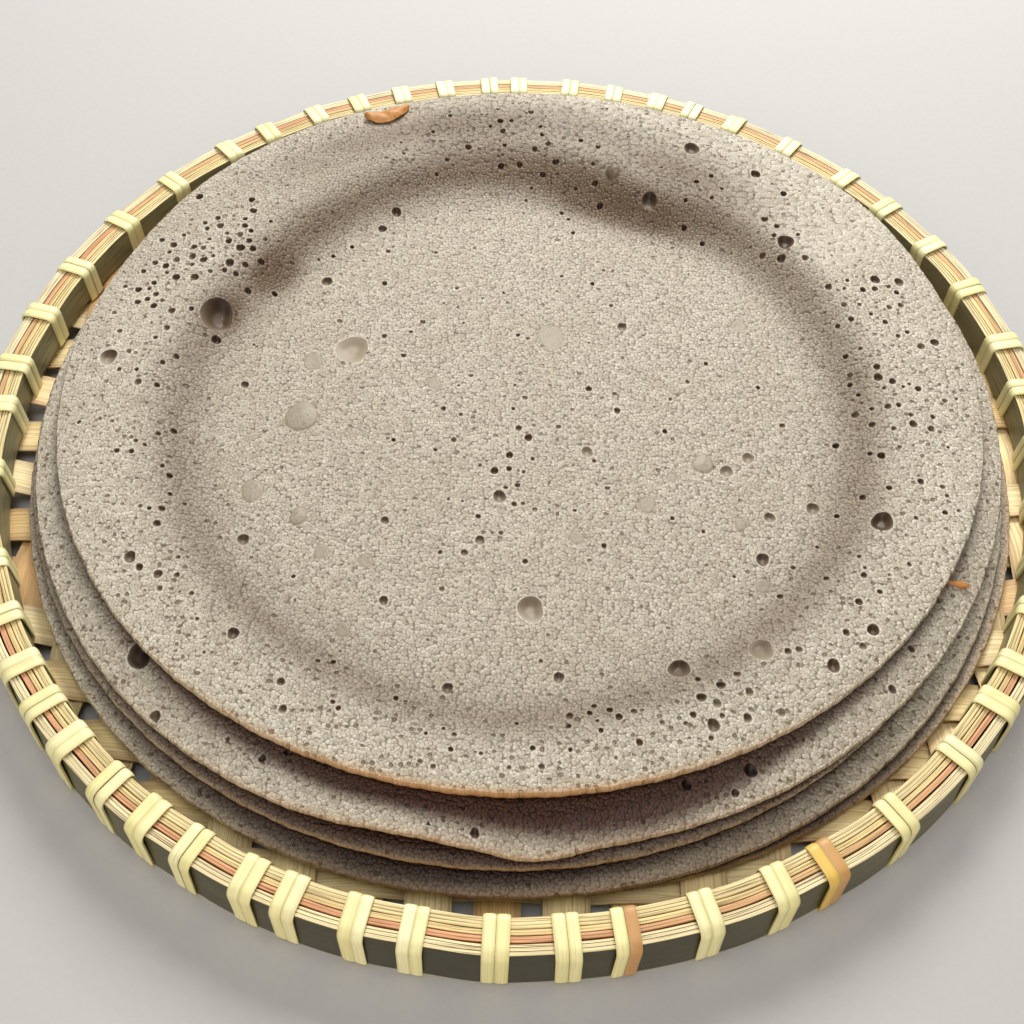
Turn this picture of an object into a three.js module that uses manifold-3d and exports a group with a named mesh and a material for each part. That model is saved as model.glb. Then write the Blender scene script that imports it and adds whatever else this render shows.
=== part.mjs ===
// A stack of injera, the soft sour flatbread of Ethiopia and Eritrea, in the round
// woven bamboo tray that it is served in.
//
// Units are millimetres with +Z up. The origin is the middle of the tray on the
// surface that it stands on, and -Y is the tray's front.

import * as THREE from 'three';
import { mergeVertices } from 'three/addons/utils/BufferGeometryUtils.js';
import Module from 'manifold-3d';

const wasm = await Module();
wasm.setup();

// ---------------------------------------------------------------- driving dimensions

const GAP = 0.3;                   // air left between pieces that touch
const DEG = Math.PI / 180;

// The rim: two bamboo hoops with thin splits laid between them.
const RING_FACETS = 48;
const HOOP_FOOT = 1.0;             // height of the outer hoop's foot
const RIM_TOP = 20.4;              // height of the hoops' top edges
const HOOP_WALL = 3.1;
const OUTER_HOOP_TOP_RADIUS = 190;
const OUTER_HOOP_FLARE = 2;        // the foot is this much wider in radius than the top
const INNER_HOOP_RADIUS = 179.6;   // its inner face
const SPLIT_WALL = 1.5;
const SPLIT_HEIGHT = 4.5;

// The mat: plain weave of flat bamboo strips, a shallow dish that turns up at its edge.
const STRIP_PITCH = 19.9;
const STRIP_WIDTH = 13.8;
const STRIP_THICKNESS = 0.6;
const STRIPS_EACH_WAY = 18;
const FIRST_STRIP_X = -162.35;
const FIRST_STRIP_Y = -163.85;
const WEAVE_HEIGHT = 1.65;         // how far a strip rises and falls from the mat's middle
const MAT_CLEARANCE = 0.4;         // air under the mat's floor
const MAT_FLOOR_RADIUS = 135;
const MAT_RISE = 3.6;
const MAT_END_RADIUS = 186.2;      // the strips' ends, clamped between the hoops

// The lashing: flat strips wound round the rim, with gaps a binder judged by eye.
const LASH_WIDTH = 7;
const LASH_THICKNESS = 0.7;
const RUNNER_WIDTH = 3;
const LASH_DEGREES = [
  5, 12, 21, 29, 37, 44, 53, 61, 67, 72, 78, 84, 91, 95, 101, 107, 113, 119,
  126, 132, 141, 150, 159, 167, 175, 181, 190, 202, 209, 215, 220, 225, 231,
  236, 241, 247, 251, 257, 262, 269, 275, 280, 287, 294, 299, 307, 316, 323,
  328, 335, 342, 350, 357,
];

// The bread. Every sheet has the same dished form: a flat floor, a slope up to a
// raised ring and an uneven edge that hangs a little.
const SECTORS = 48;
const BREAD_THICKNESS = 2.9;
const EDGE_THICKNESS = 2.3;
const SLOPE_FOOT = 108;            // radius where the floor starts to rise
const SLOPE_TOP = 132;
const SHOULDER_SHARE = 0.6;        // of the way from the slope's top to the edge
const LATE_SHARE = 0.15;           // of the slope, kept flat on the lower sheets
const SLOPE_SHARES = [0, 0.3, 0.65, 1];   // rings of the top sheet's slope

// radius and shift place a sheet's outline; oval is its second harmonic; ring is how
// far its ring stands above its floor, edge is the height of the edge's top, and wave
// is how far the edge's height wanders.
const SHEETS = [
  { name: 'injera_1', radius: 169.2, shift: [5, -3.8], oval: [0, 0], ring: 1.8, edge: 10.3, wave: 0 },
  { name: 'injera_2', radius: 171.8, shift: [0.3, -2], oval: [-0.9, 1.4], ring: 3.2, edge: 13.6, wave: 0 },
  { name: 'injera_3', radius: 166.0, shift: [-3.8, 0.6], oval: [0, 0], ring: 4.4, edge: 17.0, wave: 0 },
  { name: 'injera_4', radius: 166.9, shift: [1.2, 3.2], oval: [2, 2.1], ring: 5.8, edge: 20.6, wave: 0.3 },
  { name: 'injera_5', radius: 160.4, shift: [0.7, 11.7], oval: [1.4, 1], ring: 8.2, edge: 27.4, wave: 0.8 },
];
const TOP_LEVEL = SHEETS.length - 1;

// The largest eyes of the top sheet, as x, y and diameter; a blister stands proud.
const EYES = [
  [-113, 39, 10], [-62, 27, 11], [5, -82, 8], [76, -96, 7.5], [122, -49, 7], [51, 109, 6.5],
];
const BLISTERS = [
  [-77, -5, 12], [-90, -38, 8.5], [64, -22, 8.5],
];
const EYE_DEPTH = 1.2;
const BLISTER_HEIGHT = 0.9;

const BAMBOO = { color: 0xd2bd86, roughness: 0.6, metalness: 0 };
const BAMBOO_SKIN = { color: 0x9a9468, roughness: 0.5, metalness: 0 };
const SALMON_SPLIT = { color: 0xcf9a70, roughness: 0.6, metalness: 0 };
const LASHING = { color: 0xe6dfa8, roughness: 0.5, metalness: 0 };
const BREAD = { color: 0xa99a8a, roughness: 0.9, metalness: 0 };

// ------------------------------------------------------------------ general helpers

const smooth = (x, low, high) => THREE.MathUtils.smoothstep(x, low, high);

// A soft bump of height 1 at an azimuth, in degrees, that fades over a half width.
function bump(theta, centre, halfWidth) {
  const turn = THREE.MathUtils.euclideanModulo(theta / DEG - centre + 180, 360) - 180;
  return Math.exp(-((turn / halfWidth) ** 2));
}

// Vertices that share a place are made one, and triangles that collapse are dropped.
function weld(geometry) {
  geometry.deleteAttribute('normal');
  geometry.deleteAttribute('uv');
  const merged = mergeVertices(geometry, 1e-4);
  const corners = merged.index.array;
  const kept = [];
  for (let i = 0; i < corners.length; i += 3) {
    const [a, b, c] = corners.slice(i, i + 3);
    if (a !== b && b !== c && c !== a) kept.push(a, b, c);
  }
  merged.setIndex(kept);
  return merged;
}

// Moves every vertex of a geometry to where place(x, y, z) puts it.
function reshape(geometry, place) {
  const position = geometry.getAttribute('position');
  for (let i = 0; i < position.count; i += 1) {
    position.setXYZ(i, ...place(position.getX(i), position.getY(i), position.getZ(i)));
  }
  return geometry;
}

function toManifold(geometry) {
  const solid = weld(geometry.clone());
  return new wasm.Manifold(new wasm.Mesh({
    numProp: 3,
    vertProperties: new Float32Array(solid.getAttribute('position').array),
    triVerts: new Uint32Array(solid.index.array),
  }));
}

function fromManifold(manifold) {
  const { vertProperties, triVerts } = manifold.getMesh();
  const geometry = new THREE.BufferGeometry();
  geometry.setAttribute('position', new THREE.BufferAttribute(vertProperties, 3));
  geometry.setIndex(new THREE.BufferAttribute(triVerts, 1));
  return geometry;
}

function piece(name, geometry, look) {
  const mesh = new THREE.Mesh(geometry, new THREE.MeshStandardMaterial(look));
  mesh.name = name;
  mesh.geometry.computeVertexNormals();
  return mesh;
}

// ------------------------------------------------------------------------- the rim

// A ring with a four-cornered section: corners are [radius, height], anticlockwise.
function ring(corners) {
  const points = [...corners, corners[0]].map(([r, z]) => new THREE.Vector2(r, z));
  const lathe = new THREE.LatheGeometry(points, RING_FACETS);
  lathe.rotateX(Math.PI / 2);
  return weld(lathe);
}

function uprightRing(inside, wall, low, high) {
  const outside = inside + wall;
  return ring([[inside, low], [outside, low], [outside, high], [inside, high]]);
}

const MAT_TOP = MAT_CLEARANCE + 2 * WEAVE_HEIGHT + STRIP_THICKNESS;
const FACET_SAG = INNER_HOOP_RADIUS * (1 - Math.cos(Math.PI / RING_FACETS));
const INNER_HOOP_FOOT = MAT_TOP + MAT_RISE + GAP;
const INNER_SPLIT_RADIUS = INNER_HOOP_RADIUS + HOOP_WALL + GAP;
const OUTER_SPLIT_RADIUS = INNER_SPLIT_RADIUS + SPLIT_WALL + GAP;

function outerHoop() {
  const top = OUTER_HOOP_TOP_RADIUS;
  const foot = top + OUTER_HOOP_FLARE;
  return ring([
    [foot - HOOP_WALL, HOOP_FOOT], [foot, HOOP_FOOT],
    [top, RIM_TOP], [top - HOOP_WALL, RIM_TOP],
  ]);
}

function rim() {
  const splitLow = RIM_TOP - SPLIT_HEIGHT;
  return [
    piece('outer_hoop', outerHoop(), BAMBOO_SKIN),
    piece('inner_hoop',
      uprightRing(INNER_HOOP_RADIUS, HOOP_WALL, INNER_HOOP_FOOT, RIM_TOP), BAMBOO),
    piece('inner_split', uprightRing(INNER_SPLIT_RADIUS, SPLIT_WALL, splitLow, RIM_TOP), BAMBOO),
    piece('outer_split',
      uprightRing(OUTER_SPLIT_RADIUS, SPLIT_WALL, splitLow, RIM_TOP), SALMON_SPLIT),
  ];
}

// --------------------------------------------------------------------- the lashing

// One place of lashing: a flat loop up the rim's inside, over its top, down its
// outside and under its foot. The loop is open only where the mat passes through it.
function lashLoop() {
  const inside = INNER_HOOP_RADIUS - FACET_SAG - GAP;
  const topOutside = OUTER_HOOP_TOP_RADIUS + GAP;
  const footOutside = topOutside + OUTER_HOOP_FLARE;
  const footInside = footOutside - HOOP_WALL - LASH_THICKNESS;
  const t = LASH_THICKNESS;
  const outline = [
    [inside, INNER_HOOP_FOOT], [inside, RIM_TOP + GAP], [topOutside, RIM_TOP + GAP],
    [footOutside, t], [footInside, t], [footInside, 0], [footOutside + t, 0],
    [topOutside + t, RIM_TOP + GAP + t], [inside - t, RIM_TOP + GAP + t],
    [inside - t, INNER_HOOP_FOOT],
  ];
  const shape = new THREE.Shape(outline.map(([r, z]) => new THREE.Vector2(r, z)));
  const loop = new THREE.ExtrudeGeometry(shape, { depth: LASH_WIDTH, bevelEnabled: false });
  loop.translate(0, 0, -LASH_WIDTH / 2);
  loop.rotateX(Math.PI / 2);
  return loop;
}

// The loops are one strip with the runner that passes under the rim between them.
function lashing() {
  const runnerInside = OUTER_HOOP_TOP_RADIUS + OUTER_HOOP_FLARE - HOOP_WALL - RUNNER_WIDTH / 6;
  const runner = uprightRing(runnerInside, RUNNER_WIDTH, 0, LASH_THICKNESS);
  let joined = toManifold(runner);
  for (const degrees of LASH_DEGREES) {
    const loop = lashLoop().rotateZ(degrees * DEG);
    joined = joined.add(toManifold(loop));
  }
  return piece('lashing', fromManifold(joined), LASHING);
}

// ------------------------------------------------------------------------- the mat

// Height that the mat's middle surface rises above its floor, by distance from the centre.
function matRise(radius) {
  const span = INNER_HOOP_RADIUS - MAT_FLOOR_RADIUS;
  const part = THREE.MathUtils.clamp((radius - MAT_FLOOR_RADIUS) / span, 0, 1);
  return MAT_RISE * part * part;
}

// One strip, lying along X at y = offset, with square ends inside the rim. It crosses
// the other strips at the stations and passes over the first where overFirst is true,
// then under and over by turns.
function strip(offset, firstStation, overFirst) {
  const outerEdge = Math.abs(offset) + STRIP_WIDTH / 2;
  const reach = Math.sqrt(MAT_END_RADIUS ** 2 - outerEdge ** 2);
  const stations = [];
  for (let i = 0; i < STRIPS_EACH_WAY; i += 1) {
    const at = firstStation + i * STRIP_PITCH;
    if (Math.abs(at) < reach - STRIP_THICKNESS) stations.push(at);
  }
  const wave = (at) => {
    const turns = (at - firstStation) / STRIP_PITCH;
    const zigzag = 1 - 2 * Math.abs(THREE.MathUtils.euclideanModulo(turns, 2) - 1);
    return overFirst ? -zigzag : zigzag;
  };
  const sections = [-reach, ...stations, reach];
  const last = sections.length - 1;
  const box = new THREE.BoxGeometry(1, STRIP_WIDTH, STRIP_THICKNESS, last, 1, 1);
  const middle = MAT_CLEARANCE + WEAVE_HEIGHT + STRIP_THICKNESS / 2;
  reshape(box, (x, y, z) => {
    const along = sections[Math.round((x + 0.5) * last)];
    const rise = matRise(Math.hypot(along, offset + y));
    return [along, offset + y, middle + rise + WEAVE_HEIGHT * wave(along) + z];
  });
  return weld(box);
}

function mat() {
  const strips = [];
  for (let i = 0; i < STRIPS_EACH_WAY; i += 1) {
    const isEven = i % 2 === 0;
    const number = String(i + 1).padStart(2, '0');
    const y = FIRST_STRIP_Y + i * STRIP_PITCH;
    strips.push(piece(`weft_${number}`, strip(y, FIRST_STRIP_X, isEven), BAMBOO));
    // A warp strip is made along X as well, then turned to lie along Y.
    const x = FIRST_STRIP_X + i * STRIP_PITCH;
    const turned = reshape(strip(x, FIRST_STRIP_Y, !isEven), (u, v, z) => [v, u, z]);
    turned.setIndex([...turned.index.array].reverse());
    strips.push(piece(`warp_${number}`, turned, BAMBOO));
  }
  return strips;
}

// ------------------------------------------------------------------------ the bread

function edgeRadius(sheet, theta) {
  const [shiftX, shiftY] = sheet.shift;
  const [ovalCos, ovalSin] = sheet.oval;
  return sheet.radius + shiftX * Math.cos(theta) + shiftY * Math.sin(theta)
    + ovalCos * Math.cos(2 * theta) + ovalSin * Math.sin(2 * theta);
}

// The slope is pushed in by folds at the back right and the back left, and it runs far
// out at the back.
function slopeAt(theta) {
  const pushedIn = 7 * bump(theta, 66, 12) + 5 * bump(theta, 147, 14);
  const runOut = 16 * bump(theta, 100, 22);
  return { foot: SLOPE_FOOT - pushedIn - runOut / 4, top: SLOPE_TOP - pushedIn + runOut };
}

// A sheet's rings at one azimuth, from the middle out to the shoulder where the raised
// ring ends: the radius of each, and its share of the raised ring's height.
function ringsAt(sheet, level, theta) {
  const { foot, top } = slopeAt(theta);
  const slope = (share) => ({
    radius: THREE.MathUtils.lerp(foot, top, share),
    share: smooth(share, 0, 1),
  });
  const reach = edgeRadius(sheet, theta) - SLOPE_TOP;
  const middle = { radius: 0, share: 0 };
  const shoulder = { radius: Math.max(SLOPE_TOP + SHOULDER_SHARE * reach, top + 1), share: 1 };
  if (level === TOP_LEVEL) return [middle, ...SLOPE_SHARES.map(slope), shoulder];
  // A lower sheet has fewer rings. Its slope starts late, to clear the one above it.
  const lateFoot = { radius: THREE.MathUtils.lerp(foot, top, LATE_SHARE), share: 0 };
  return [middle, lateFoot, slope(1), shoulder];
}

const floorTop = (level) => MAT_TOP + GAP + level * (BREAD_THICKNESS + GAP) + BREAD_THICKNESS;

// Height of a sheet's upper face at its edge: slow waves, and under the top sheet a
// roll and a crease at the front.
function edgeTop(sheet, level, theta) {
  const wave = 0.65 * Math.sin(3 * theta + 2 * level) + 0.35 * Math.sin(7 * theta + level);
  const roll = 1.4 * bump(theta, 252, 11) - 0.4 * bump(theta, 272, 8);
  return sheet.edge + sheet.wave * wave + (level === TOP_LEVEL - 1 ? roll : 0);
}

// The sheet is turned on a lathe from a profile that runs out along the lower face and
// back along the upper one, then every vertex is moved to the dished form.
function sheetGeometry(sheet, level) {
  const edgeStep = ringsAt(sheet, level, 0).length;
  const profile = [];
  for (let step = 0; step <= edgeStep; step += 1) profile.push(new THREE.Vector2(step, -1));
  for (let step = edgeStep; step >= 0; step -= 1) profile.push(new THREE.Vector2(step, 1));
  const lathe = new THREE.LatheGeometry(profile, SECTORS);
  lathe.rotateX(Math.PI / 2);
  reshape(lathe, (x, y, face) => {
    const theta = Math.atan2(y, x);
    const step = Math.round(Math.hypot(x, y));
    if (step === edgeStep) {
      const radius = edgeRadius(sheet, theta);
      const top = edgeTop(sheet, level, theta);
      const z = face > 0 ? top : top - EDGE_THICKNESS;
      return [radius * Math.cos(theta), radius * Math.sin(theta), z];
    }
    const { radius, share } = ringsAt(sheet, level, theta)[step];
    const top = floorTop(level) + sheet.ring * share;
    const z = face > 0 ? top : top - BREAD_THICKNESS;
    return [radius * Math.cos(theta), radius * Math.sin(theta), z];
  });
  return weld(lathe);
}

// A flattened ball, used to press an eye into a face or to raise a blister on it.
function lens([x, y, diameter], height) {
  const { foot, top } = slopeAt(Math.atan2(y, x));
  const face = floorTop(TOP_LEVEL) + SHEETS[TOP_LEVEL].ring * smooth(Math.hypot(x, y), foot, top);
  const ball = new THREE.SphereGeometry(1, 8, 4);
  ball.rotateX(Math.PI / 2);
  ball.scale(diameter / 2, diameter / 2, height);
  return toManifold(ball.translate(x, y, face));
}

function topSheet() {
  let bread = toManifold(sheetGeometry(SHEETS[TOP_LEVEL], TOP_LEVEL));
  for (const eye of EYES) bread = bread.subtract(lens(eye, EYE_DEPTH));
  for (const blister of BLISTERS) bread = bread.add(lens(blister, BLISTER_HEIGHT));
  return fromManifold(bread);
}

function stack() {
  return SHEETS.map((sheet, level) => {
    const geometry = level === TOP_LEVEL ? topSheet() : sheetGeometry(sheet, level);
    return piece(sheet.name, geometry, BREAD);
  });
}

// ------------------------------------------------------------------------- assembly

const tray = new THREE.Group();
tray.add(...rim(), lashing(), ...mat());

const bread = new THREE.Group();
bread.add(...stack());

const group = new THREE.Group();
group.add(tray, bread);

export default group;
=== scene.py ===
# %% [markdown]
# # A stack of injera in its woven tray
#
# Injera is a soft, sour flatbread. A thin batter is poured on a hot plate and baked from
# below only, so its underside is smooth and golden and its upper face is a foam of burst
# bubbles, which bakers call its eyes. Here five of them lie in a shallow dish of woven
# bamboo whose rim is two hoops, bound together with flat strips.
#
# The solids of the part come first, as a fixed frame. Every piece below is then modelled
# in their place, with the fine surface that solids of a few thousand faces can't hold.

# %% Load the fixed frame
import math
import random

import bmesh
import bpy
import numpy as np
from mathutils import Euler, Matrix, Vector


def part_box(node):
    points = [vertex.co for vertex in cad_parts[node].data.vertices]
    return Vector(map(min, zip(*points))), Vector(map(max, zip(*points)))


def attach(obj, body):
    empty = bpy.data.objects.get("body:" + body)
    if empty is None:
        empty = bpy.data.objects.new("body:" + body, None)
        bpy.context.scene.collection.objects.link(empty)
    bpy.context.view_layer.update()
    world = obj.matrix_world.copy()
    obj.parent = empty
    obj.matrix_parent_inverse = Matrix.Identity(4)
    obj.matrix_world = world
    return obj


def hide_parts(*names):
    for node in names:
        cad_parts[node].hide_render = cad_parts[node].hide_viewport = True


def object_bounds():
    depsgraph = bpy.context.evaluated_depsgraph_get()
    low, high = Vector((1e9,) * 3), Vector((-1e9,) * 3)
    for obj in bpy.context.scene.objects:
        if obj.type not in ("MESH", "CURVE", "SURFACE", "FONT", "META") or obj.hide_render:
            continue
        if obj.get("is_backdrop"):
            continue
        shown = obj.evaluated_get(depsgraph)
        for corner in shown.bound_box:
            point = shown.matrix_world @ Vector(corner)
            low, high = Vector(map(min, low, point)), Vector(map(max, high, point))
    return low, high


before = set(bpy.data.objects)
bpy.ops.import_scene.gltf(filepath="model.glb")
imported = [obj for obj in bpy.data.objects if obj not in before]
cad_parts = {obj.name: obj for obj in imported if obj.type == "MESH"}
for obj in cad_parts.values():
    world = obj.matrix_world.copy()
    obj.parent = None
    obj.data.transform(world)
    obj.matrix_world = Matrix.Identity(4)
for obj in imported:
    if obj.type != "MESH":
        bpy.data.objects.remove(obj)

SOLID_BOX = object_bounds()
print("solids in the frame:", len(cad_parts))

# %% [markdown]
# ## Units and measures
#
# A baker or a weaver thinks in millimetres, so each piece is worked out in millimetres and
# turned to metres once, when it is finished. The measures that fit a piece to the part are
# read off the frame: how high the rim stands, how wide it is, where a sheet's edge runs.

# %% Measure the frame
MM = 0.001


def box_mm(node):
    """Lowest and highest corner of one of the frame's solids, in millimetres."""
    low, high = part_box(node)
    return low / MM, high / MM


def points_mm(node):
    """The corners of one of the frame's solids, one row each, in millimetres."""
    return np.array([vert.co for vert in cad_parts[node].data.vertices]) / MM


RIM_TOP = box_mm("outer_hoop")[1].z
TRAY_RADIUS = box_mm("outer_hoop")[1].x
INNER_HOOP_FOOT = box_mm("inner_hoop")[0].z
LASHED_RADIUS = box_mm("lashing")[1].x
print(f"rim: top {RIM_TOP:.1f} mm, tray radius {TRAY_RADIUS:.1f}, lashed {LASHED_RADIUS:.1f} mm")

# %% [markdown]
# ## Colours and nodes
#
# A colour picked by eye is an sRGB value, and a shader adds up light, which is linear, so
# one function turns the first into the second. Another small function adds a shader node
# with its settings and its links and hands back the output that the next node needs.

# %% Colour and node helpers


def srgb(code):
    """A hex colour such as '#c8beaa' as the linear colour that a shader wants."""
    channels = [int(code[i:i + 2], 16) / 255 for i in (1, 3, 5)]
    linear = [c / 12.92 if c <= 0.04045 else ((c + 0.055) / 1.055) ** 2.4 for c in channels]
    return (*linear, 1.0)


def add_node(tree, kind, inputs=None, out=0, **settings):
    """Adds a shader node. Inputs are values or other nodes' outputs; out picks its output."""
    node = tree.nodes.new("ShaderNode" + kind)
    for name, value in settings.items():
        setattr(node, name, value)
    for socket, value in (inputs or {}).items():
        if isinstance(value, bpy.types.NodeSocket):
            tree.links.new(value, node.inputs[socket])
        else:
            node.inputs[socket].default_value = value
    return node.outputs[out]


def new_material(name):
    """An empty node material, its tree and its surface shader."""
    material = bpy.data.materials.new(name)
    material.use_nodes = True
    tree = material.node_tree
    tree.nodes.clear()
    shader = tree.nodes.new("ShaderNodeBsdfPrincipled")
    output = tree.nodes.new("ShaderNodeOutputMaterial")
    tree.links.new(shader.outputs["BSDF"], output.inputs["Surface"])
    return material, tree, shader


def object_mm(tree):
    """Object coordinates in millimetres, so that a pattern's scale is one over a real size."""
    place = add_node(tree, "TexCoord", out=3)
    return add_node(tree, "Mapping", {"Vector": place, "Scale": (1 / MM,) * 3})


# Settings that many nodes share: a mix of colours rather than of numbers, and a soft step.
COLOUR_MIX = {"out": 2, "data_type": "RGBA"}
MULTIPLY_MIX = {**COLOUR_MIX, "blend_type": "MULTIPLY"}
SOFT_STEP = {"interpolation_type": "SMOOTHSTEP"}
print("the middle grey #808080 is", round(srgb("#808080")[0], 3), "in linear light")

# %% [markdown]
# ## The foam of the bread
#
# The upper face of injera is baked foam. Its bubbles stand close together, a millimetre and
# a quarter apart, and further at the back, where the batter rose most. Each is a pale,
# slightly moist dome. Where three of them meet, and here and there where the seam between
# two tore, there is a gap, and the finish paints it dark as shade.
#
# Some fifty thousand bubbles on each sheet are too many to model, so they are a pattern of
# colour and bump. A Voronoi pattern is what foam makes: the distance to a cell's middle
# gives the dome, the distance to the nearest border gives the seam, and the cell's random
# colour makes every bubble a little different.

# %% Lay the foam
CELL_PITCH = 1.22          # mm between the foam's domes
PUFFED_PITCH = 1.8         # the same where the batter rose most
CELL_WARP = 0.8            # mm by which the foam's rows wander
CELL_DENT = 0.4            # mm by which one dome's outline is uneven
PUFFED_TIGHTER = 0.6       # of a seam closes where the batter rose most


def lay_foam(tree, place):
    """The warped place, and its puff, distance to a bubble's middle, lot, crumb and gap."""
    # The foam isn't laid in rows: slow noise pushes its cells about and fine noise dents them.
    foam = place
    for scale, reach in ((0.16, CELL_WARP), (0.9, CELL_DENT)):
        wander = add_node(tree, "TexNoise", {"Vector": place, "Scale": scale}, out=1)
        centred = add_node(tree, "VectorMath", {0: wander, 1: (0.5, 0.5, 0.5)},
                           operation="SUBTRACT")
        shift = add_node(tree, "VectorMath", {0: centred, "Scale": 2 * reach}, operation="SCALE")
        foam = add_node(tree, "VectorMath", {0: foam, 1: shift}, operation="ADD")

    # Two sizes of foam, and how much the attribute puff asks for the larger one.
    borders, middles = [
        [add_node(tree, "TexVoronoi", {"Vector": foam, "Scale": 1 / pitch}, feature=feature,
                  voronoi_dimensions="2D") for pitch in (CELL_PITCH, PUFFED_PITCH)]
        for feature in ("DISTANCE_TO_EDGE", "F1")]
    puff = add_node(tree, "Attribute", out=2, attribute_name="puff")
    border = add_node(tree, "Mix", {0: puff, 2: borders[0], 3: borders[1]})
    middle = add_node(tree, "Mix", {0: puff, 2: middles[0], 3: middles[1]})
    chance = add_node(tree, "Mix", {0: puff, 6: middles[0].node.outputs["Color"],
                                    7: middles[1].node.outputs["Color"]}, **COLOUR_MIX)
    lot = add_node(tree, "SeparateColor", {"Color": chance})
    grain = add_node(tree, "TexNoise", {"Vector": place, "Scale": 1.3, "Detail": 3.0}, out=1)
    crumb = add_node(tree, "SeparateColor", {"Color": grain})
    # Three domes leave a gap where they meet, two only where fine noise tears their seam.
    seam = add_node(tree, "MapRange", {"Value": border, "From Min": 0.0, "From Max": 0.2,
                                       "To Min": 1.0, "To Max": 0.0}, **SOFT_STEP)
    torn = add_node(tree, "MapRange", {"Value": crumb.node.outputs[1], "From Min": 0.46,
                                       "From Max": 0.62, "To Min": 0.2, "To Max": 0.8})
    open_seam = add_node(tree, "Math", {0: seam, 1: torn}, operation="MULTIPLY")
    tight = add_node(tree, "Math", {0: puff, 1: -PUFFED_TIGHTER, 2: 1.0},
                     operation="MULTIPLY_ADD")
    split = add_node(tree, "Math", {0: open_seam, 1: tight}, operation="MULTIPLY")
    corner = add_node(tree, "MapRange", {"Value": middle, "From Min": 0.46, "From Max": 0.86,
                                         "To Max": 0.95}, **SOFT_STEP)
    gap = add_node(tree, "Math", {0: split, 1: corner}, operation="MAXIMUM")
    return foam, puff, middle, lot, crumb, gap


print(f"foam: domes {CELL_PITCH} mm apart, {PUFFED_PITCH} mm where it is puffed")

# %% [markdown]
# ## Pinholes
#
# Here and there a bubble burst and left a pinhole, painted dark as shade. The large ones are
# modelled in the mesh further down. The finest, under a millimetre and a half, come from a
# second, wider Voronoi pattern, of which only some cells hold a hole. How many do is painted
# on the sheet as the attribute pores, because pinholes come in clusters.

# %% Prick the pinholes
PINHOLE_PITCH = 2.7        # mm between places where a pinhole can be
PINHOLE_RADII = (0.14, 0.26)    # of that pitch, the smallest and the largest


def prick_pinholes(tree, foam):
    """1 inside a pinhole, and 0 elsewhere. Each pinhole has a size of its own."""
    hole_cells = add_node(tree, "TexVoronoi", {"Vector": foam, "Scale": 1 / PINHOLE_PITCH,
                                               "Randomness": 0.75},
                          feature="F1", voronoi_dimensions="2D")
    hole_lot = add_node(tree, "SeparateColor", {"Color": hole_cells.node.outputs["Color"]})
    pores = add_node(tree, "Attribute", out=2, attribute_name="pores")
    present = add_node(tree, "Math", {0: hole_lot, 1: pores}, operation="LESS_THAN")
    smallest, largest = PINHOLE_RADII
    radius = add_node(tree, "MapRange", {"Value": hole_lot.node.outputs[1],
                                         "To Min": smallest, "To Max": largest})
    inward = add_node(tree, "Math", {0: radius, 1: hole_cells}, operation="SUBTRACT")
    opening = add_node(tree, "MapRange", {"Value": inward, "From Min": -0.07,
                                          "From Max": 0.07}, **SOFT_STEP)
    return add_node(tree, "Math", {0: opening, 1: present}, operation="MULTIPLY")


widths = [f"{2 * share * PINHOLE_PITCH:.1f}" for share in PINHOLE_RADII]
print("pinholes:", " to ".join(widths), "mm across")

# %% [markdown]
# ## The colours of the foam
#
# Teff bakes to a grey beige. Three things make one bubble differ from the next: its own
# paleness, a darker middle where it dips, and a painted highlight, a glint.
# Over a few centimetres the tone drifts, as the batter was thicker here and thinner there.

# %% Colour the foam
TONE_PATCH = 26            # mm across a warmer or cooler patch


def colour_foam(tree, place, puff, middle, lot, crumb, gap):
    """The foam's colour, and how far the middle of each bubble is thin or burst."""
    pale = add_node(tree, "ValToRGB", {"Fac": lot})
    stops = pale.node.color_ramp.elements
    stops[0].color = srgb("#a8a18f")
    stops[1].color = srgb("#d4cebc")
    stops.new(0.5).color = srgb("#bfb8a6")
    # Painted shade in the gaps between the domes.
    foam_colour = add_node(tree, "Mix", {0: gap, 6: pale, 7: srgb("#6a5f4c")}, **COLOUR_MIX)
    thin = add_node(tree, "MapRange", {"Value": middle, "From Min": 0.05, "From Max": 0.4,
                                       "To Min": 0.75, "To Max": 0.0}, **SOFT_STEP)
    least = add_node(tree, "Math", {0: puff, 1: 0.45, 2: 0.3}, operation="MULTIPLY_ADD")
    thinness = add_node(tree, "Math", {0: lot.node.outputs[2], 1: 0.7, 2: least},
                        operation="MULTIPLY_ADD")
    burst = add_node(tree, "Math", {0: thin, 1: thinness}, operation="MULTIPLY")
    ringed = add_node(tree, "Mix", {0: burst, 6: foam_colour, 7: srgb("#92876f")}, **COLOUR_MIX)
    dusk = add_node(tree, "MapRange", {"Value": crumb, "From Min": 0.46, "From Max": 0.3,
                                       "To Max": 0.45})
    uneven = add_node(tree, "Mix", {0: dusk, 6: ringed, 7: srgb("#8b806c")}, **COLOUR_MIX)
    # A painted highlight: a pale glint on some domes.
    glint_share = add_node(tree, "MapRange", {"Value": crumb, "From Min": 0.58, "From Max": 0.72,
                                        "To Max": 0.45})
    glinting = add_node(tree, "Mix", {0: glint_share, 6: uneven, 7: srgb("#f0ebde")}, **COLOUR_MIX)

    # Slow patches of tone.
    patch = add_node(tree, "TexNoise", {"Vector": place, "Scale": 1 / TONE_PATCH, "Detail": 1.0})
    patch_share = add_node(tree, "MapRange", {"Value": patch, "From Min": 0.35,
                                              "From Max": 0.65, "To Max": 0.14})
    toned = add_node(tree, "Mix", {0: patch_share, 6: glinting, 7: srgb("#a18f78")}, **COLOUR_MIX)
    return toned, burst
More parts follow.
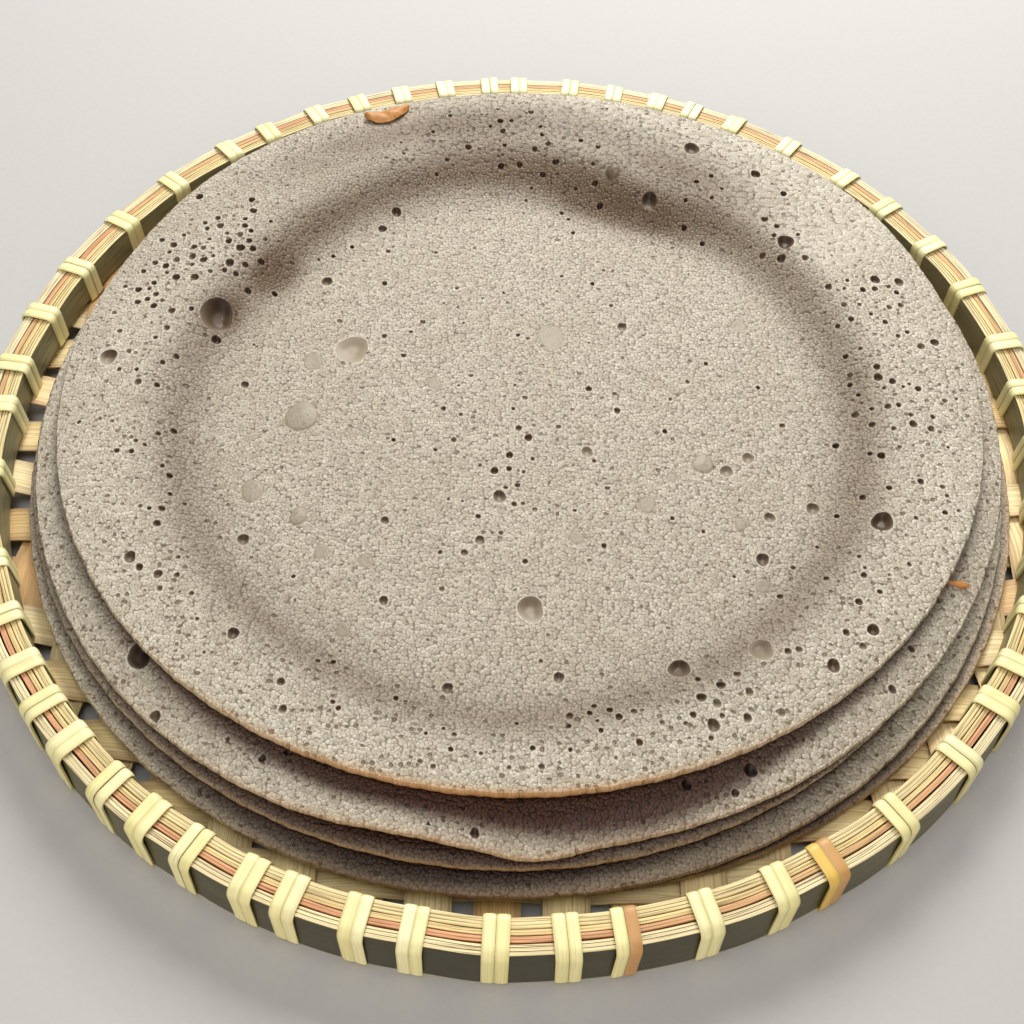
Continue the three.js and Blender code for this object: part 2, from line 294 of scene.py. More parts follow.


# %% [markdown]
# ## The finish of the bread
#
# The finish lays its coats in the order in which they came about. First comes the face, with
# its foam, its skins and its eyes. An eye has a pale rim of tight crumb, a shallow one shows
# its floor, and a deep one only painted shade. Next is the crust of the side and the
# underside, golden from the hot plate. Painted shade lies over both, on the slopes and in the
# folds, with a dark brown painted shadow where another sheet lies over this one. Where each
# coat lies is painted on the sheets further down, as attributes. Pit and skin are signed
# distances in millimetres, so that one number can give an edge, a rim and an inside.

# %% Griddled teff batter
DOME_HEIGHT = 0.2          # mm
PUFFED_MORE = 0.2          # of that height, added where the batter rose most
PINHOLE_DEPTH = 0.5        # mm


def griddled_batter(name, light_crust, dark_crust):
    """Griddled teff batter: matt, pale grey-beige foam, golden where it met the hot plate."""
    material, tree, shader = new_material(name)
    place = object_mm(tree)
    foam, puff, middle, lot, crumb, gap = lay_foam(tree, place)
    toned, burst = colour_foam(tree, place, puff, middle, lot, crumb, gap)
    pinhole = prick_pinholes(tree, foam)
    pit, deep, skin, crust, painted_shade, painted_shadow = [
        add_node(tree, "Attribute", out=2, attribute_name=painted)
        for painted in ("pit", "deep", "skin", "crust", "painted_shade", "painted_shadow")]
    in_pit = add_node(tree, "MapRange", {"Value": pit, "From Min": -0.2, "From Max": 0.2},
                      **SOFT_STEP)
    in_skin = add_node(tree, "MapRange", {"Value": skin, "From Min": -0.2, "From Max": 0.3,
                                          "To Max": 0.8}, **SOFT_STEP)
    calm = add_node(tree, "Math", {0: in_skin, 1: in_pit}, operation="MAXIMUM")
    foamy = add_node(tree, "Math", {0: 1.0, 1: calm}, operation="SUBTRACT")
    hole = add_node(tree, "Math", {0: pinhole, 1: foamy}, operation="MULTIPLY")

    skinned = add_node(tree, "Mix", {0: in_skin, 6: toned, 7: srgb("#968d78")}, **COLOUR_MIX)
    halo =add_node(tree, "MapRange", {"Value": pit, "From Min": -0.9, "From Max": -0.25,
                                       "To Max": 0.5}, **SOFT_STEP)
    rimmed = add_node(tree, "Mix", {0: halo, 6: skinned, 7: srgb("#ded6c5")}, **COLOUR_MIX)
    # Painted shade inside the eyes: the floor shows in a shallow one, a deep one is near black.
    pit_shade_colour = add_node(tree, "Mix", {0: deep, 6: srgb("#a0957f"), 7: srgb("#463321")},
                          **COLOUR_MIX)
    pitted = add_node(tree, "Mix", {0: in_pit, 6: rimmed, 7: pit_shade_colour}, **COLOUR_MIX)
    # Painted shade in the pinholes.
    holed = add_node(tree, "Mix", {0: hole, 6: pitted, 7: srgb("#7a6b55")}, **COLOUR_MIX)

    # The side and the underside took colour from the plate.
    browning = add_node(tree, "TexNoise", {"Vector": place, "Scale": 0.5, "Detail": 2.0})
    gold = add_node(tree, "Mix", {0: browning, 6: srgb(light_crust), 7: srgb(dark_crust)},
                    **COLOUR_MIX)
    baked = add_node(tree, "Mix", {0: crust, 6: holed, 7: gold}, **COLOUR_MIX)
    # Painted shade on the slopes, in the folds and at the front of the lower sheets.
    shade_painted_colour = add_node(tree, "Mix", {0: painted_shade, 6: baked, 7: srgb("#89745d")}, **MULTIPLY_MIX)
    # A dark brown painted shadow where the sheet above lies over this one.
    shadow_painted_colour = add_node(tree, "Mix", {0: painted_shadow, 6: shade_painted_colour, 7: srgb("#5e3413")}, **MULTIPLY_MIX)
    tree.links.new(shadow_painted_colour, shader.inputs["Base Color"])

    # Height in millimetres: domes, none where a skin is smooth, and the pinholes' depth.
    crown = add_node(tree, "MapRange", {"Value": middle, "From Min": 0.15, "From Max": 0.85,
                                        "To Min": 1.0, "To Max": 0.0}, **SOFT_STEP)
    grainy = add_node(tree, "Math", {0: crumb, 1: 0.6, 2: crown}, operation="MULTIPLY_ADD")
    parted = add_node(tree, "Math", {0: gap, 1: -0.4, 2: grainy}, operation="MULTIPLY_ADD")
    dimpled = add_node(tree, "Math", {0: burst, 1: -0.5, 2: parted}, operation="MULTIPLY_ADD")
    dome_part = add_node(tree, "Math", {0: dimpled, 1: foamy}, operation="MULTIPLY")
    dome_height = add_node(tree, "Math", {0: puff, 1: PUFFED_MORE * DOME_HEIGHT, 2: DOME_HEIGHT},
                           operation="MULTIPLY_ADD")
    dome_mm = add_node(tree, "Math", {0: dome_part, 1: dome_height}, operation="MULTIPLY")
    hole_mm = add_node(tree, "Math", {0: hole, 1: PINHOLE_DEPTH}, operation="MULTIPLY")
    height = add_node(tree, "Math", {0: dome_mm, 1: hole_mm}, operation="SUBTRACT")
    relief = add_node(tree, "Bump", {"Height": height, "Distance": MM, "Strength": 1.0})
    tree.links.new(relief, shader.inputs["Normal"])

    shader.inputs["Roughness"].default_value = 0.5
    shader.inputs["IOR"].default_value = 1.4
    return material


BATTER = griddled_batter("griddled_teff_batter", "#d0a66f", "#b17a45")
# The same where the plate was too hot: the crust is browner.
SCORCHED = griddled_batter("scorched_teff_crust", "#cd944f", "#9c622b")
print("finish:", BATTER.name, "with", len(BATTER.node_tree.nodes), "nodes")

# %% [markdown]
# ## The finish of the bamboo
#
# Bamboo is a grass: it has no rings, only fibres that run the whole length of a culm. Split
# into slats it shows them as fine, nearly straight streaks, so its finish is one noise
# pattern, stretched some hundred times longer along the slat than across it. On a hoop the
# pattern follows the circle and has no seam, because it is made from the direction out of
# the middle, the radius and the height. On a strip it follows the strip's own UV map, which
# is laid out in millimetres.

# %% Run the fibres
FIBRE_WIDTH = 0.6          # mm
FIBRE_RUN = 45             # mm before a streak fades out
LOTS_APART = 50.0          # in the noise, so that no two strips share their streaks


def round_the_hoop(tree):
    """Noise coordinates that run with the hoop: direction and height, and the radius as W."""
    place = object_mm(tree)
    flat = add_node(tree, "VectorMath", {0: place, 1: (1, 1, 0)}, operation="MULTIPLY")
    way_out = add_node(tree, "VectorMath", {0: flat}, operation="NORMALIZE")
    along = add_node(tree, "VectorMath", {0: way_out, "Scale": TRAY_RADIUS / FIBRE_RUN},
                     operation="SCALE")
    up = add_node(tree, "VectorMath", {0: place, 1: (0, 0, 1 / FIBRE_WIDTH)},
                  operation="MULTIPLY")
    vector = add_node(tree, "VectorMath", {0: along, 1: up}, operation="ADD")
    radius = add_node(tree, "VectorMath", {0: flat}, operation="LENGTH", out=1)
    across = add_node(tree, "Math", {0: radius, 1: 1 / FIBRE_WIDTH}, operation="MULTIPLY")
    return vector, across


def along_the_strip(tree):
    """Noise coordinates that run with a strip: its UV map, and its own lot as W."""
    laid = add_node(tree, "UVMap", uv_map="strip")
    vector = add_node(tree, "VectorMath", {0: laid, 1: (1 / FIBRE_RUN, 1 / FIBRE_WIDTH, 0)},
                      operation="MULTIPLY")
    lot = add_node(tree, "Attribute", out=2, attribute_name="lot")
    own = add_node(tree, "Math", {0: lot, 1: LOTS_APART}, operation="MULTIPLY")
    return vector, own


print(f"a streak is {FIBRE_WIDTH} mm wide and {FIBRE_RUN} mm long")

# %% [markdown]
# ## The four finishes of bamboo
#
# It is all one grass, so one function makes each finish, from its own ramp of colours, dark
# fibre lines and gloss. The attribute tone picks a place on the ramp, because slats from
# different heights of a culm differ in colour.

# %% Split bamboo
STREAKS_FAINTER = 0.6      # how strong the broad streaks are beside the fibre lines
LINE_FADE = 0.12           # of the noise, between no line and a full one
# Painted shade along a strip's long sides.
SIDE_SHADE = 0.45          # share of the line's colour on a strip's long sides
FIBRE_RELIEF = 0.12        # mm


def split_bamboo(name, coordinates, ramp, line, roughness, line_share, first_line=0.58):
    """Bamboo by its ramp of colours over the attribute tone, with darker fibre lines."""
    material, tree, shader = new_material(name)
    vector, w = coordinates(tree)
    streak = add_node(tree, "TexNoise", {"Vector": vector, "W": w, "Scale": 1.0, "Detail": 2.0},
                      noise_dimensions="4D")
    fine = add_node(tree, "TexNoise", {"Vector": vector, "W": w, "Scale": 2.3, "Detail": 3.0},
                    noise_dimensions="4D")
    tone = add_node(tree, "Attribute", out=2, attribute_name="tone")
    base = add_node(tree, "ValToRGB", {"Fac": tone})
    elements = base.node.color_ramp.elements
    elements[0].color = srgb(ramp[0][1])
    elements[1].position, elements[1].color = ramp[-1][0], srgb(ramp[-1][1])
    for at, code in ramp[1:-1]:
        elements.new(at).color = srgb(code)
    broad = add_node(tree, "MapRange", {"Value": streak, "From Min": 0.4, "From Max": 0.75,
                                        "To Max": STREAKS_FAINTER * line_share})
    streaked = add_node(tree, "Mix", {0: broad, 6: base, 7: srgb(line)}, **COLOUR_MIX)
    thin = add_node(tree, "MapRange", {"Value": fine, "From Min": first_line,
                                       "From Max": first_line + LINE_FADE, "To Max": line_share})
    lined = add_node(tree, "Mix", {0: thin, 6: streaked, 7: srgb(line)}, **COLOUR_MIX)
    # Painted shade along a strip's long sides; its middle stays clear.
    side = add_node(tree, "Attribute", out=2, attribute_name="side")
    side_shade_share = add_node(tree, "Math", {0: side, 1: SIDE_SHADE}, operation="MULTIPLY")
    side_shaded = add_node(tree, "Mix", {0: side_shade_share, 6: lined, 7: srgb(line)}, **COLOUR_MIX)
    tree.links.new(side_shaded, shader.inputs["Base Color"])
    relief = add_node(tree, "Bump", {"Height": fine, "Distance": FIBRE_RELIEF * MM,
                                     "Strength": 0.7})
    tree.links.new(relief, shader.inputs["Normal"])
    shader.inputs["Roughness"].default_value = roughness
    shader.inputs["IOR"].default_value = 1.5
    return material


# The sawn top edges of the hoops: pale pith with dark fibre ends, quite matt.
CUT_BAMBOO = split_bamboo("cut_bamboo", round_the_hoop,
                          [(0, "#efe1b4"), (0.35, "#eed898"), (0.6, "#dfbd84"), (1, "#dda276")],
                          "#5f3f1a", 0.6, line_share=0.85, first_line=0.56)
# Bamboo with its waxy green skin on, dried to dull olive: darker and smoother. Its ramp is
# dark in the middle only, for painted shade on the front of the outer hoop.
BAMBOO_SKIN = split_bamboo("dried_bamboo_skin", round_the_hoop,
                           [(0, "#878259"), (0.12, "#393620"), (0.22, "#8b8661")], "#1b190b",
                           0.42, line_share=0.75, first_line=0.54)
# The mat's strips: thin, planed, from straw to orange-tan, with a low sheen.
MAT_BAMBOO = split_bamboo("planed_bamboo_strip", along_the_strip,
                          [(0, "#f6e3ab"), (0.6, "#edcb8b"), (1, "#dcab6e")], "#845726", 0.55,
                          line_share=0.75, first_line=0.55)
# The binding: peeled from just under the skin, cream-yellow with a satin face.
BINDING = split_bamboo("peeled_bamboo_binding", along_the_strip,
                       [(0, "#f3eebc"), (0.35, "#ebe39e"), (0.6, "#e6bf5c"), (1, "#bd8459")],
                       "#b0a05f", 0.46, line_share=0.5)
print("finishes:", CUT_BAMBOO.name, BAMBOO_SKIN.name, MAT_BAMBOO.name, BINDING.name)

# %% [markdown]
# ## Finishing a piece
#
# Every piece ends in the same way: scaled to metres, shaded smooth up to a crease angle,
# given its finishes, and tied to the part, so that it rides on the root body and stands for
# the plain solid in its place.

# %% Finish a piece
CREASE = math.radians(38)


def place_corners(bm, points):
    """Moves every corner of a mesh in the making to its point."""
    for vert, point in zip(bm.verts, points):
        vert.co = point


def paint(bm, name, values):
    """Keeps one number per corner as a named attribute, for a finish to read."""
    layer = bm.verts.layers.float.new(name)
    for vert, value in zip(bm.verts, values):
        vert[layer] = value


def finish_piece(bm, name, finishes, stands_for=()):
    """Turns a mesh in the making, in millimetres, into a piece of the part."""
    bmesh.ops.scale(bm, vec=(MM, MM, MM), verts=bm.verts)
    mesh = bpy.data.meshes.new(name)
    bm.to_mesh(mesh)
    bm.free()
    mesh.shade_smooth()
    mesh.set_sharp_from_angle(angle=CREASE)
    for finish in finishes:
        mesh.materials.append(finish)
    piece = bpy.data.objects.new(name, mesh)
    bpy.context.scene.collection.objects.link(piece)
    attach(piece, "root")
    if stands_for:
        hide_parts(*stands_for)
    mesh.calc_loop_triangles()
    print(f"{name}: {len(mesh.loop_triangles)} triangles")
    return piece


print(f"edges stay sharp where faces meet at over {math.degrees(CREASE):.0f} degrees")

# %% [markdown]
# ## The form of a sheet
#
# A sheet of injera is poured in one thickness, so its form is that of whatever it lies on:
# flat in the middle, then up a slope to a raised ring, where the sheets of a stack puff up
# and rest on each other's edges, and down a little to an uneven edge. Folds push the slope
# in at two places and at the back it runs far out.
#
# The outline of each sheet comes from its solid in the frame. A sum of waves carries it
# smoothly between the solid's corners, as going round a circle always ends where it began.

# %% Read the sheets' outlines
SHEETS = ["injera_1", "injera_2", "injera_3", "injera_4", "injera_5"]
TOP_SHEET = len(SHEETS) - 1
SECOND_SHEET = TOP_SHEET - 1    # from the top
SECTORS = 48               # corners round the solid's edge
THICKNESS = 2.9            # of a sheet
EDGE_THICKNESS = 2.7       # where it is a little thinner
SLOPE_FOOT = 108           # radius where the floor starts to rise
SLOPE_TOP = 132            # radius where the slope meets the raised ring
SHOULDER_SHARE = 0.6       # of the way from there to the edge, where the ring ends
LATE_SHARE = 0.15          # of the slope, kept flat on the lower sheets
FALL_POWER = 1.4           # over 1, so that the ring rounds down to the edge


def read_outline(node):
    """A sheet's edge radius and height, corner by corner from azimuth 0, and its two levels."""
    points = points_mm(node)
    radius = np.hypot(points[:, 0], points[:, 1])
    sector = np.rint(np.arctan2(points[:, 1], points[:, 0]) * SECTORS / math.tau) % SECTORS
    edges = [points[(sector == s) & (radius > radius[sector == s].max() - 0.05)]
             for s in range(SECTORS)]
    floor_top = points[radius < 1, 2].max()
    ring_top = points[np.abs(radius - SLOPE_TOP) < 0.3, 2].max()
    return {
        "radius": np.array([np.hypot(*edge[0, :2]) for edge in edges]),
        "height": np.array([edge[:, 2].max() for edge in edges]),
        "floor": floor_top,
        "ring": ring_top - floor_top,
    }


def round_circle(samples, theta):
    """A smooth curve through evenly spaced samples round a circle."""
    waves = np.fft.rfft(samples) / len(samples)
    total = np.full_like(theta, waves[0].real)
    for k in range(1, len(waves) - 1):
        total += 2 * (waves[k].real * np.cos(k * theta) - waves[k].imag * np.sin(k * theta))
    return total


OUTLINES = [read_outline(node) for node in SHEETS]
for node, outline in zip(SHEETS, OUTLINES):
    print(f"{node}: edge radius {outline['radius'].min():.1f} to {outline['radius'].max():.1f}, "
          f"floor {outline['floor']:.1f}, ring +{outline['ring']:.1f} mm")

# %% Work out the form


def smooth(x, low, high):
    """0 below low, 1 above high and an S-shaped step between them."""
    share = np.clip((x - low) / (high - low), 0, 1)
    return share * share * (3 - 2 * share)


def bump(theta, centre, half_width):
    """1 at an azimuth in degrees, fading over a half width."""
    turn = (np.degrees(theta) - centre + 180) % 360 - 180
    return np.exp(-((turn / half_width) ** 2))


def slope_at(theta):
    """Radii where the slope starts and ends: pushed in by two folds, far out at the back."""
    pushed_in = 7 * bump(theta, 66, 12) + 5 * bump(theta, 147, 14)
    run_out = 16 * bump(theta, 100, 22) + 7 * bump(theta, 265, 17)
    return SLOPE_FOOT - pushed_in - run_out / 4, SLOPE_TOP - pushed_in + run_out


front = np.array([math.radians(270)])
print("slope at the front: radius", " to ".join(f"{r[0]:.0f}" for r in slope_at(front)), "mm")

# %% Kink the edges and raise the faces
# Where an edge kinks: sheet, azimuth, spread in degrees, and millimetres out and up.
KINKS = [(3, 272.5, 4.5, 2.2, -0.8), (3, 259, 8, -1.2, 2.2), (3, 238, 10, 0.0, 1.0),
         (3, 300, 12, 0.4, 0.6), (4, 205, 20, 0.0, 1.0), (4, 270, 30, 0.0, 0.9),
         (4, 335, 20, 0.0, 1.0), (4, 47, 22, 1.6, 1.0), (4, 127, 20, 1.5, 1.0),
         (2, 259, 9, 0.0, 0.7), (1, 272, 34, -2.2, 0.4), (0, 272, 34, -2.8, 0.0)]


def edge_reach(level, theta):
    """Radius of a sheet's edge."""
    kinked = sum(out * bump(theta, azimuth, spread)
                 for sheet, azimuth, spread, out, _ in KINKS if sheet == level)
    return round_circle(OUTLINES[level]["radius"], theta) + kinked


def edge_height(level, theta):
    """Height of the upper face at a sheet's edge."""
    kinked = sum(up * bump(theta, azimuth, spread)
                 for sheet, azimuth, spread, _, up in KINKS if sheet == level)
    return round_circle(OUTLINES[level]["height"], theta) + kinked


def face_height(level, x, y):
    """Height of a sheet's upper face, without its small relief, and how far it has fallen."""
    outline = OUTLINES[level]
    theta, radius = np.arctan2(y, x), np.hypot(x, y)
    foot, top = slope_at(theta)
    reach = edge_reach(level, theta)
    shoulder = np.maximum(SLOPE_TOP + SHOULDER_SHARE * (reach - SLOPE_TOP), top + 1)
    if level < TOP_SHEET:
        foot = foot + LATE_SHARE * (top - foot)
    raised = outline["floor"] + outline["ring"] * smooth(radius, foot, top)
    fall = np.clip((radius - shoulder) / (reach - shoulder), 0, 1) ** FALL_POWER
    return raised + fall * (edge_height(level, theta) - raised), fall


heights, _ = face_height(TOP_SHEET, np.zeros(2), np.array([0.0, -140.0]))
print(f"top sheet: {heights[0]:.1f} mm high in the middle, {heights[1]:.1f} mm on its ring")

# %% Fold the sheets
# Folds that run through the whole stack: azimuth, radius, spread along in degrees, spread
# across and height in millimetres. A crease lies at the foot of each ridge.
FOLDS = [
    (70, 109, 11, 6, -1.4), (86, 114, 10, 8, -0.7), (147, 112, 4, 5, -1.1),
    (161, 119, 3.5, 6, -0.9), (205, 124, 20, 9, -0.5), (335, 124, 18, 9, -0.5),
    (262, 119, 16, 8, -0.4), (12, 120, 10, 8, -0.5),
]
# Ridges of the top sheet alone, which stands clear of the others there.
RIDGES = [
    (66, 131, 13, 8, 1.3), (151, 135, 11, 11, 0.9), (110, 135, 10, 12, 0.5),
    (35, 138, 12, 10, 0.6), (291, 132, 13, 6, 0.6), (232, 136, 14, 10, 0.5),
]
# The second sheet's fold at the front: a hump that ends in a valley at the kink.
SECOND_RIDGES = [(259, 152, 8, 10, 1.1), (274, 153, 5, 9, -0.9)]


def add_swells(theta, radius, swells):
    """The sum of swells at given places of a sheet."""
    return sum(height * bump(theta, azimuth, along) * np.exp(-(((radius - at) / across) ** 2))
               for azimuth, at, along, across, height in swells)


def fold_relief(level, x, y):
    """Folds and slow unevenness of a whole sheet, upper face and underside alike."""
    theta, radius = np.arctan2(y, x), np.hypot(x, y)
    shared = 0.16 * np.sin(x / 13 + 1.1) * np.sin(y / 17 - 0.4)
    shared += add_swells(theta, radius, FOLDS)
    if level == TOP_SHEET:
        waves = 0.30 * np.sin(9 * theta + 2 * np.sin(2 * theta))
        return shared + smooth(radius, 118, 135) * waves + add_swells(theta, radius, RIDGES)
    own = add_swells(theta, radius, SECOND_RIDGES) if level == SECOND_SHEET else 0
    return shared * (1 - smooth(radius, 128, 146)) + own


print(len(FOLDS), "folds through the stack and", len(RIDGES), "ridges of the top sheet")

# %% [markdown]
# ## The eyes
#
# The largest bubbles made features of their own: open pits, flat skins over bubbles that
# stayed closed, and a few domes that stand proud. Each is known by its middle and its
# diameter. Their outlines are never quite round, so two slow waves run round each one.
#
# The hundreds of smaller pits come in clusters, most of them on the raised ring. A seeded
# random draw places them round listed middles and drops any that would run into a
# feature that is already there.

# %% Place the eyes
# Open pits of the top sheet: x, y, diameter, depth, and 0 to 1 for how much painted shade they get.
OPEN_EYES = [
    (-113, 39, 12.4, 1.9, 0.45), (-62, 27, 12.2, 1.1, 0.12), (-147, 13, 6.6, 1.6, 0.5),
    (-75, 62, 4.4, 1.3, 0.7), (-56, 92, 3.6, 1.2, 0.8), (-51, 101, 4.2, 1.3, 0.9),
    (38, 42, 4.0, 1.1, 0.5), (102, 81, 6.4, 1.8, 0.95), (100, 74, 3.4, 1.3, 0.9),
    (69, 136, 6.6, 1.6, 0.75), (94, 121, 4.2, 1.4, 1.0), (134, 62, 4.0, 1.4, 0.9),
    (50.5, 106, 6.4, 1.4, 0.6), (72, -25, 4.6, 1.0, 0.3), (120, -50, 7.4, 1.9, 0.95),
    (81, -61, 4.6, 1.2, 0.8), (85, -44, 3.9, 1.0, 0.45), (5, -82, 8.8, 1.5, 0.3),
    (51, -103, 7.0, 1.6, 0.6), (76, -98, 7.6, 1.0, 0.15), (97, -104, 4.4, 1.4, 0.9),
    (111, -91, 4.0, 1.4, 0.95), (14, -106, 3.6, 1.2, 0.6), (-20, -111, 3.7, 1.2, 0.6),
    (-42, -80, 3.2, 1.1, 0.7), (-90, -58, 4.1, 1.2, 0.65), (-86, -98, 4.0, 1.4, 0.8),
    (-123, -71, 4.1, 1.3, 0.8), (-113, -77, 3.0, 1.1, 0.8), (-6, -38, 4.8, 1.2, 0.6),
    (59, -125, 4.0, 1.3, 0.8), (80, -19, 4.4, 0.9, 0.3), (100, -40, 4.6, 1.0, 0.45),
    (24, -18, 4.2, 0.9, 0.3), (-44, -49, 3.0, 1.0, 0.6), (-99, 9, 3.2, 1.1, 0.7),
    (151, 30, 3.4, 1.2, 0.8), (143, 61, 3.8, 1.2, 0.7), (128, 13, 3.2, 1.2, 0.95),
    (-112, 28.5, 3.6, 1.3, 1.0), (-106, 91, 3.1, 1.2, 0.95), (-108, 70, 3.6, 1.4, 1.0),
    (-111, 62, 3.6, 1.4, 0.95), (-121, 63, 3.0, 1.2, 0.95), (-130, 54, 3.2, 1.3, 0.95),
    (-123, 54, 3.4, 1.3, 0.8), (-135, 60, 2.8, 1.2, 0.95), (-108, 82, 2.7, 1.1, 0.9),
    (-94, 54, 2.4, 1.1, 1.0), (-74, 76, 2.1, 1.0, 0.9), (-68, 41, 2.4, 0.7, 0.3),
    (25, 11, 2.5, 1.0, 0.85), (-2, 1, 1.7, 0.8, 0.9), (-27, 0, 2.1, 0.9, 0.75),
    (0, -8, 2.5, 0.9, 0.7), (3.5, -12, 3.0, 1.2, 0.95), (-3, -20, 2.7, 1.1, 0.95),
    (-8, -27, 2.9, 1.2, 0.95), (-3, -26, 2.1, 1.0, 0.9), (0, -33, 2.0, 0.9, 0.7),
    (-4, -34, 1.7, 0.8, 0.6), (-1, -41, 2.0, 0.9, 0.7), (6, -43, 2.0, 0.6, 0.4),
    (2, 6, 2.1, 0.7, 0.5), (-12, -56, 3.4, 0.8, 0.6), (-17, -61, 2.6, 0.8, 0.6),
    (3, -64, 2.0, 0.9, 0.8), (-25, -61, 1.7, 0.8, 0.8), (29, -57, 2.0, 0.9, 0.9),
    (35, 1, 2.5, 1.0, 0.8), (14, -7, 2.1, 0.7, 0.5), (108, -81, 2.5, 1.1, 0.85),
    (111, -71, 2.2, 1.0, 0.8), (107, -97, 2.5, 0.8, 0.6), (17, -121, 2.4, 0.9, 0.6),
    (23, -120, 1.8, 0.9, 0.8), (29, -119, 2.1, 1.0, 0.85), (31.5, -122, 2.4, 1.0, 0.9),
    (26, -127, 1.7, 0.9, 0.9), (6, -133, 1.7, 0.9, 0.9), (-17, -129, 1.6, 0.7, 0.5),
]
# Smooth skins over closed bubbles: x, y, diameter, and how far they stand proud or sink.
SKINS = [
    (-77, -5, 12.6, 1.2), (-90, -38, 8.4, 0.25), (64, -22, 8.2, 0.7), (-73, -48, 6.8, 0.8),
    (36, 120.5, 6.4, 1.1), (-76, 21, 7.6, -0.25), (11, 36, 11.0, -0.15), (82, 44, 6.0, -0.4),
    (80, -71, 5.6, -0.2), (20, -54, 5.4, -0.2), (-54, -91, 5.0, -0.3), (-64, -62, 5.6, -0.15),
    (-49, -65, 5.4, -0.25), (44, -40, 6.4, -0.1), (53, -28, 3.6, -0.2), (75, -47, 5.0, 0.2),
    (-31, 12, 5.6, -0.1),
]
# Clusters of small pits: middle x and y, spread, how many, and their diameters.
CLUSTERS = [
    (-123, 68, 9, 56, 1.8, 3.2), (-136, 47, 8, 26, 1.8, 3.0), (-111, 83, 7, 16, 1.6, 2.8),
    (131, 51, 9, 32, 1.7, 3.1), (130, 18, 10, 14, 1.6, 2.8), (132, -12, 8, 14, 1.7, 3.2),
    (135, -42, 7, 10, 1.5, 2.6), (104, 84, 9, 12, 1.6, 3.0), (-6, 140, 11, 16, 1.6, 2.8),
    (20, 122, 10, 16, 1.6, 2.9), (-42, 134, 13, 8, 1.5, 2.6), (65, -117, 8, 26, 1.7, 3.2),
    (50, -130, 9, 12, 1.4, 2.5), (96, -96, 10, 8, 1.7, 3.0), (14, -135, 13, 10, 1.3, 2.2),
    (-54, -121, 13, 12, 1.6, 2.8), (-137, -24, 9, 14, 1.5, 2.7), (-118, -66, 10, 9, 1.5, 2.7),
    (-130, 12, 9, 9, 1.6, 2.8), (0, -30, 18, 8, 1.2, 1.8), (0, 0, 62, 52, 1.3, 2.4),
    (75, 105, 12, 8, 1.5, 2.6), (25, -141, 20, 16, 1.2, 1.9), (-32, -138, 18, 12, 1.2, 1.9),
    (112, -72, 12, 10, 1.2, 2.1), (145, 2, 7, 8, 1.2, 2.1), (-104, -98, 14, 10, 1.2, 2.1),
]
# Pits on the second sheet, in the band that the top one leaves open.
SECOND_EYES = [
    (-115, -103, 8.4, 2.0, 0.95), (-107, -123, 3.8, 1.3, 0.9), (51, -141, 3.4, 1.3, 1.0),
    (70, -136, 4.2, 1.4, 1.0), (65, -143, 2.4, 1.1, 1.0), (116, -108, 2.8, 1.1, 0.9),
    (124, -94, 2.6, 1.1, 0.9), (-73, -136, 2.6, 1.2, 1.0), (-66, -134, 2.0, 1.0, 1.0),
    (-84, -130, 1.8, 1.0, 0.9), (-82, -145, 2.0, 1.0, 0.9), (-10, -157, 2.9, 1.2, 1.0),
    (-19, -154, 1.6, 0.9, 0.9), (-15, -154, 1.6, 0.9, 0.9), (-23, -155, 1.5, 0.9, 0.9),
]
print("by hand:", len(OPEN_EYES), "eyes,", len(SKINS), "skins,", len(SECOND_EYES), "more below")

# %% Scatter the small pits
EDGE_MARGIN = 5            # mm that a scattered pit keeps from the sheet's edge
CLEAR_BETWEEN = 1.1        # mm of crumb between two pits
DEPTH_SHARE = 0.48         # depth of a scattered pit over its diameter
LEAST_DARK = 0.3           # how dark the lightest of them looks


def scatter_pits(clusters, taken, seed):
    """Small pits round each cluster's middle, clear of the features in taken."""
    draw = random.Random(seed)
    taken, made = [spot[:3] for spot in taken], []
    for middle_x, middle_y, spread, count, smallest, largest in clusters:
        for _ in range(count):
            x, y = draw.gauss(middle_x, spread), draw.gauss(middle_y, spread)
            size = smallest + (largest - smallest) * draw.random() ** 1.3
            reach = edge_reach(TOP_SHEET, np.array([math.atan2(y, x)]))[0]
            clear = all(math.hypot(x - a, y - b) > (size + d) / 2 + CLEAR_BETWEEN
                        for a, b, d in taken)
            if clear and math.hypot(x, y) < reach - EDGE_MARGIN:
                taken.append((x, y, size))
                dark = LEAST_DARK + (1 - LEAST_DARK) * draw.random()
                made.append((x, y, size, DEPTH_SHARE * size, dark))
    return made


TOP_PITS = OPEN_EYES + scatter_pits(CLUSTERS, OPEN_EYES + SKINS, seed=11)
print(f"top sheet: {len(TOP_PITS)} open pits and {len(SKINS)} skins")

# %% [markdown]
# ## From eyes to relief
#
# For each corner of a sheet, the signed distance to the nearest eye's outline says how far
# inside it the corner lies. The same number drives two things, the depth that the corner is
# pressed in and, kept as an attribute, the colour of the finish there, so that the painted
# shade of a pit always ends at its lip.

# %% Press the eyes in
FAR_OFF = 9.0              # mm, the signed distance of a corner that no feature is near
NEARBY = 3                 # mm round a feature where it still counts
WALL_SHARE = 0.36          # of an eye's diameter, taken by its sloping wall
WIDEST_WALL = 4.4          # mm
LIP_HEIGHT = 0.14          # mm that an eye's rim stands up
MOAT_DEPTH = 0.30          # mm that the foam sinks round a skin
FIRST_SKIN_SEED = 100      # the pits' own seeds start at 0


def signed_inside(x, y, spot, seed):
    """Distance in from a slightly uneven round outline, and the share of the way to +Y."""
    draw = random.Random(seed)
    dx, dy = x - spot[0], y - spot[1]
    angle, radius = np.arctan2(dy, dx), spot[2] / 2
    uneven = (1 - 0.09 * np.cos(2 * angle) + 0.05 * np.sin(2 * angle + draw.uniform(0, 6))
              + 0.045 * np.sin(3 * angle + draw.uniform(0, 6)))
    return radius * uneven - np.hypot(dx, dy), dy / radius


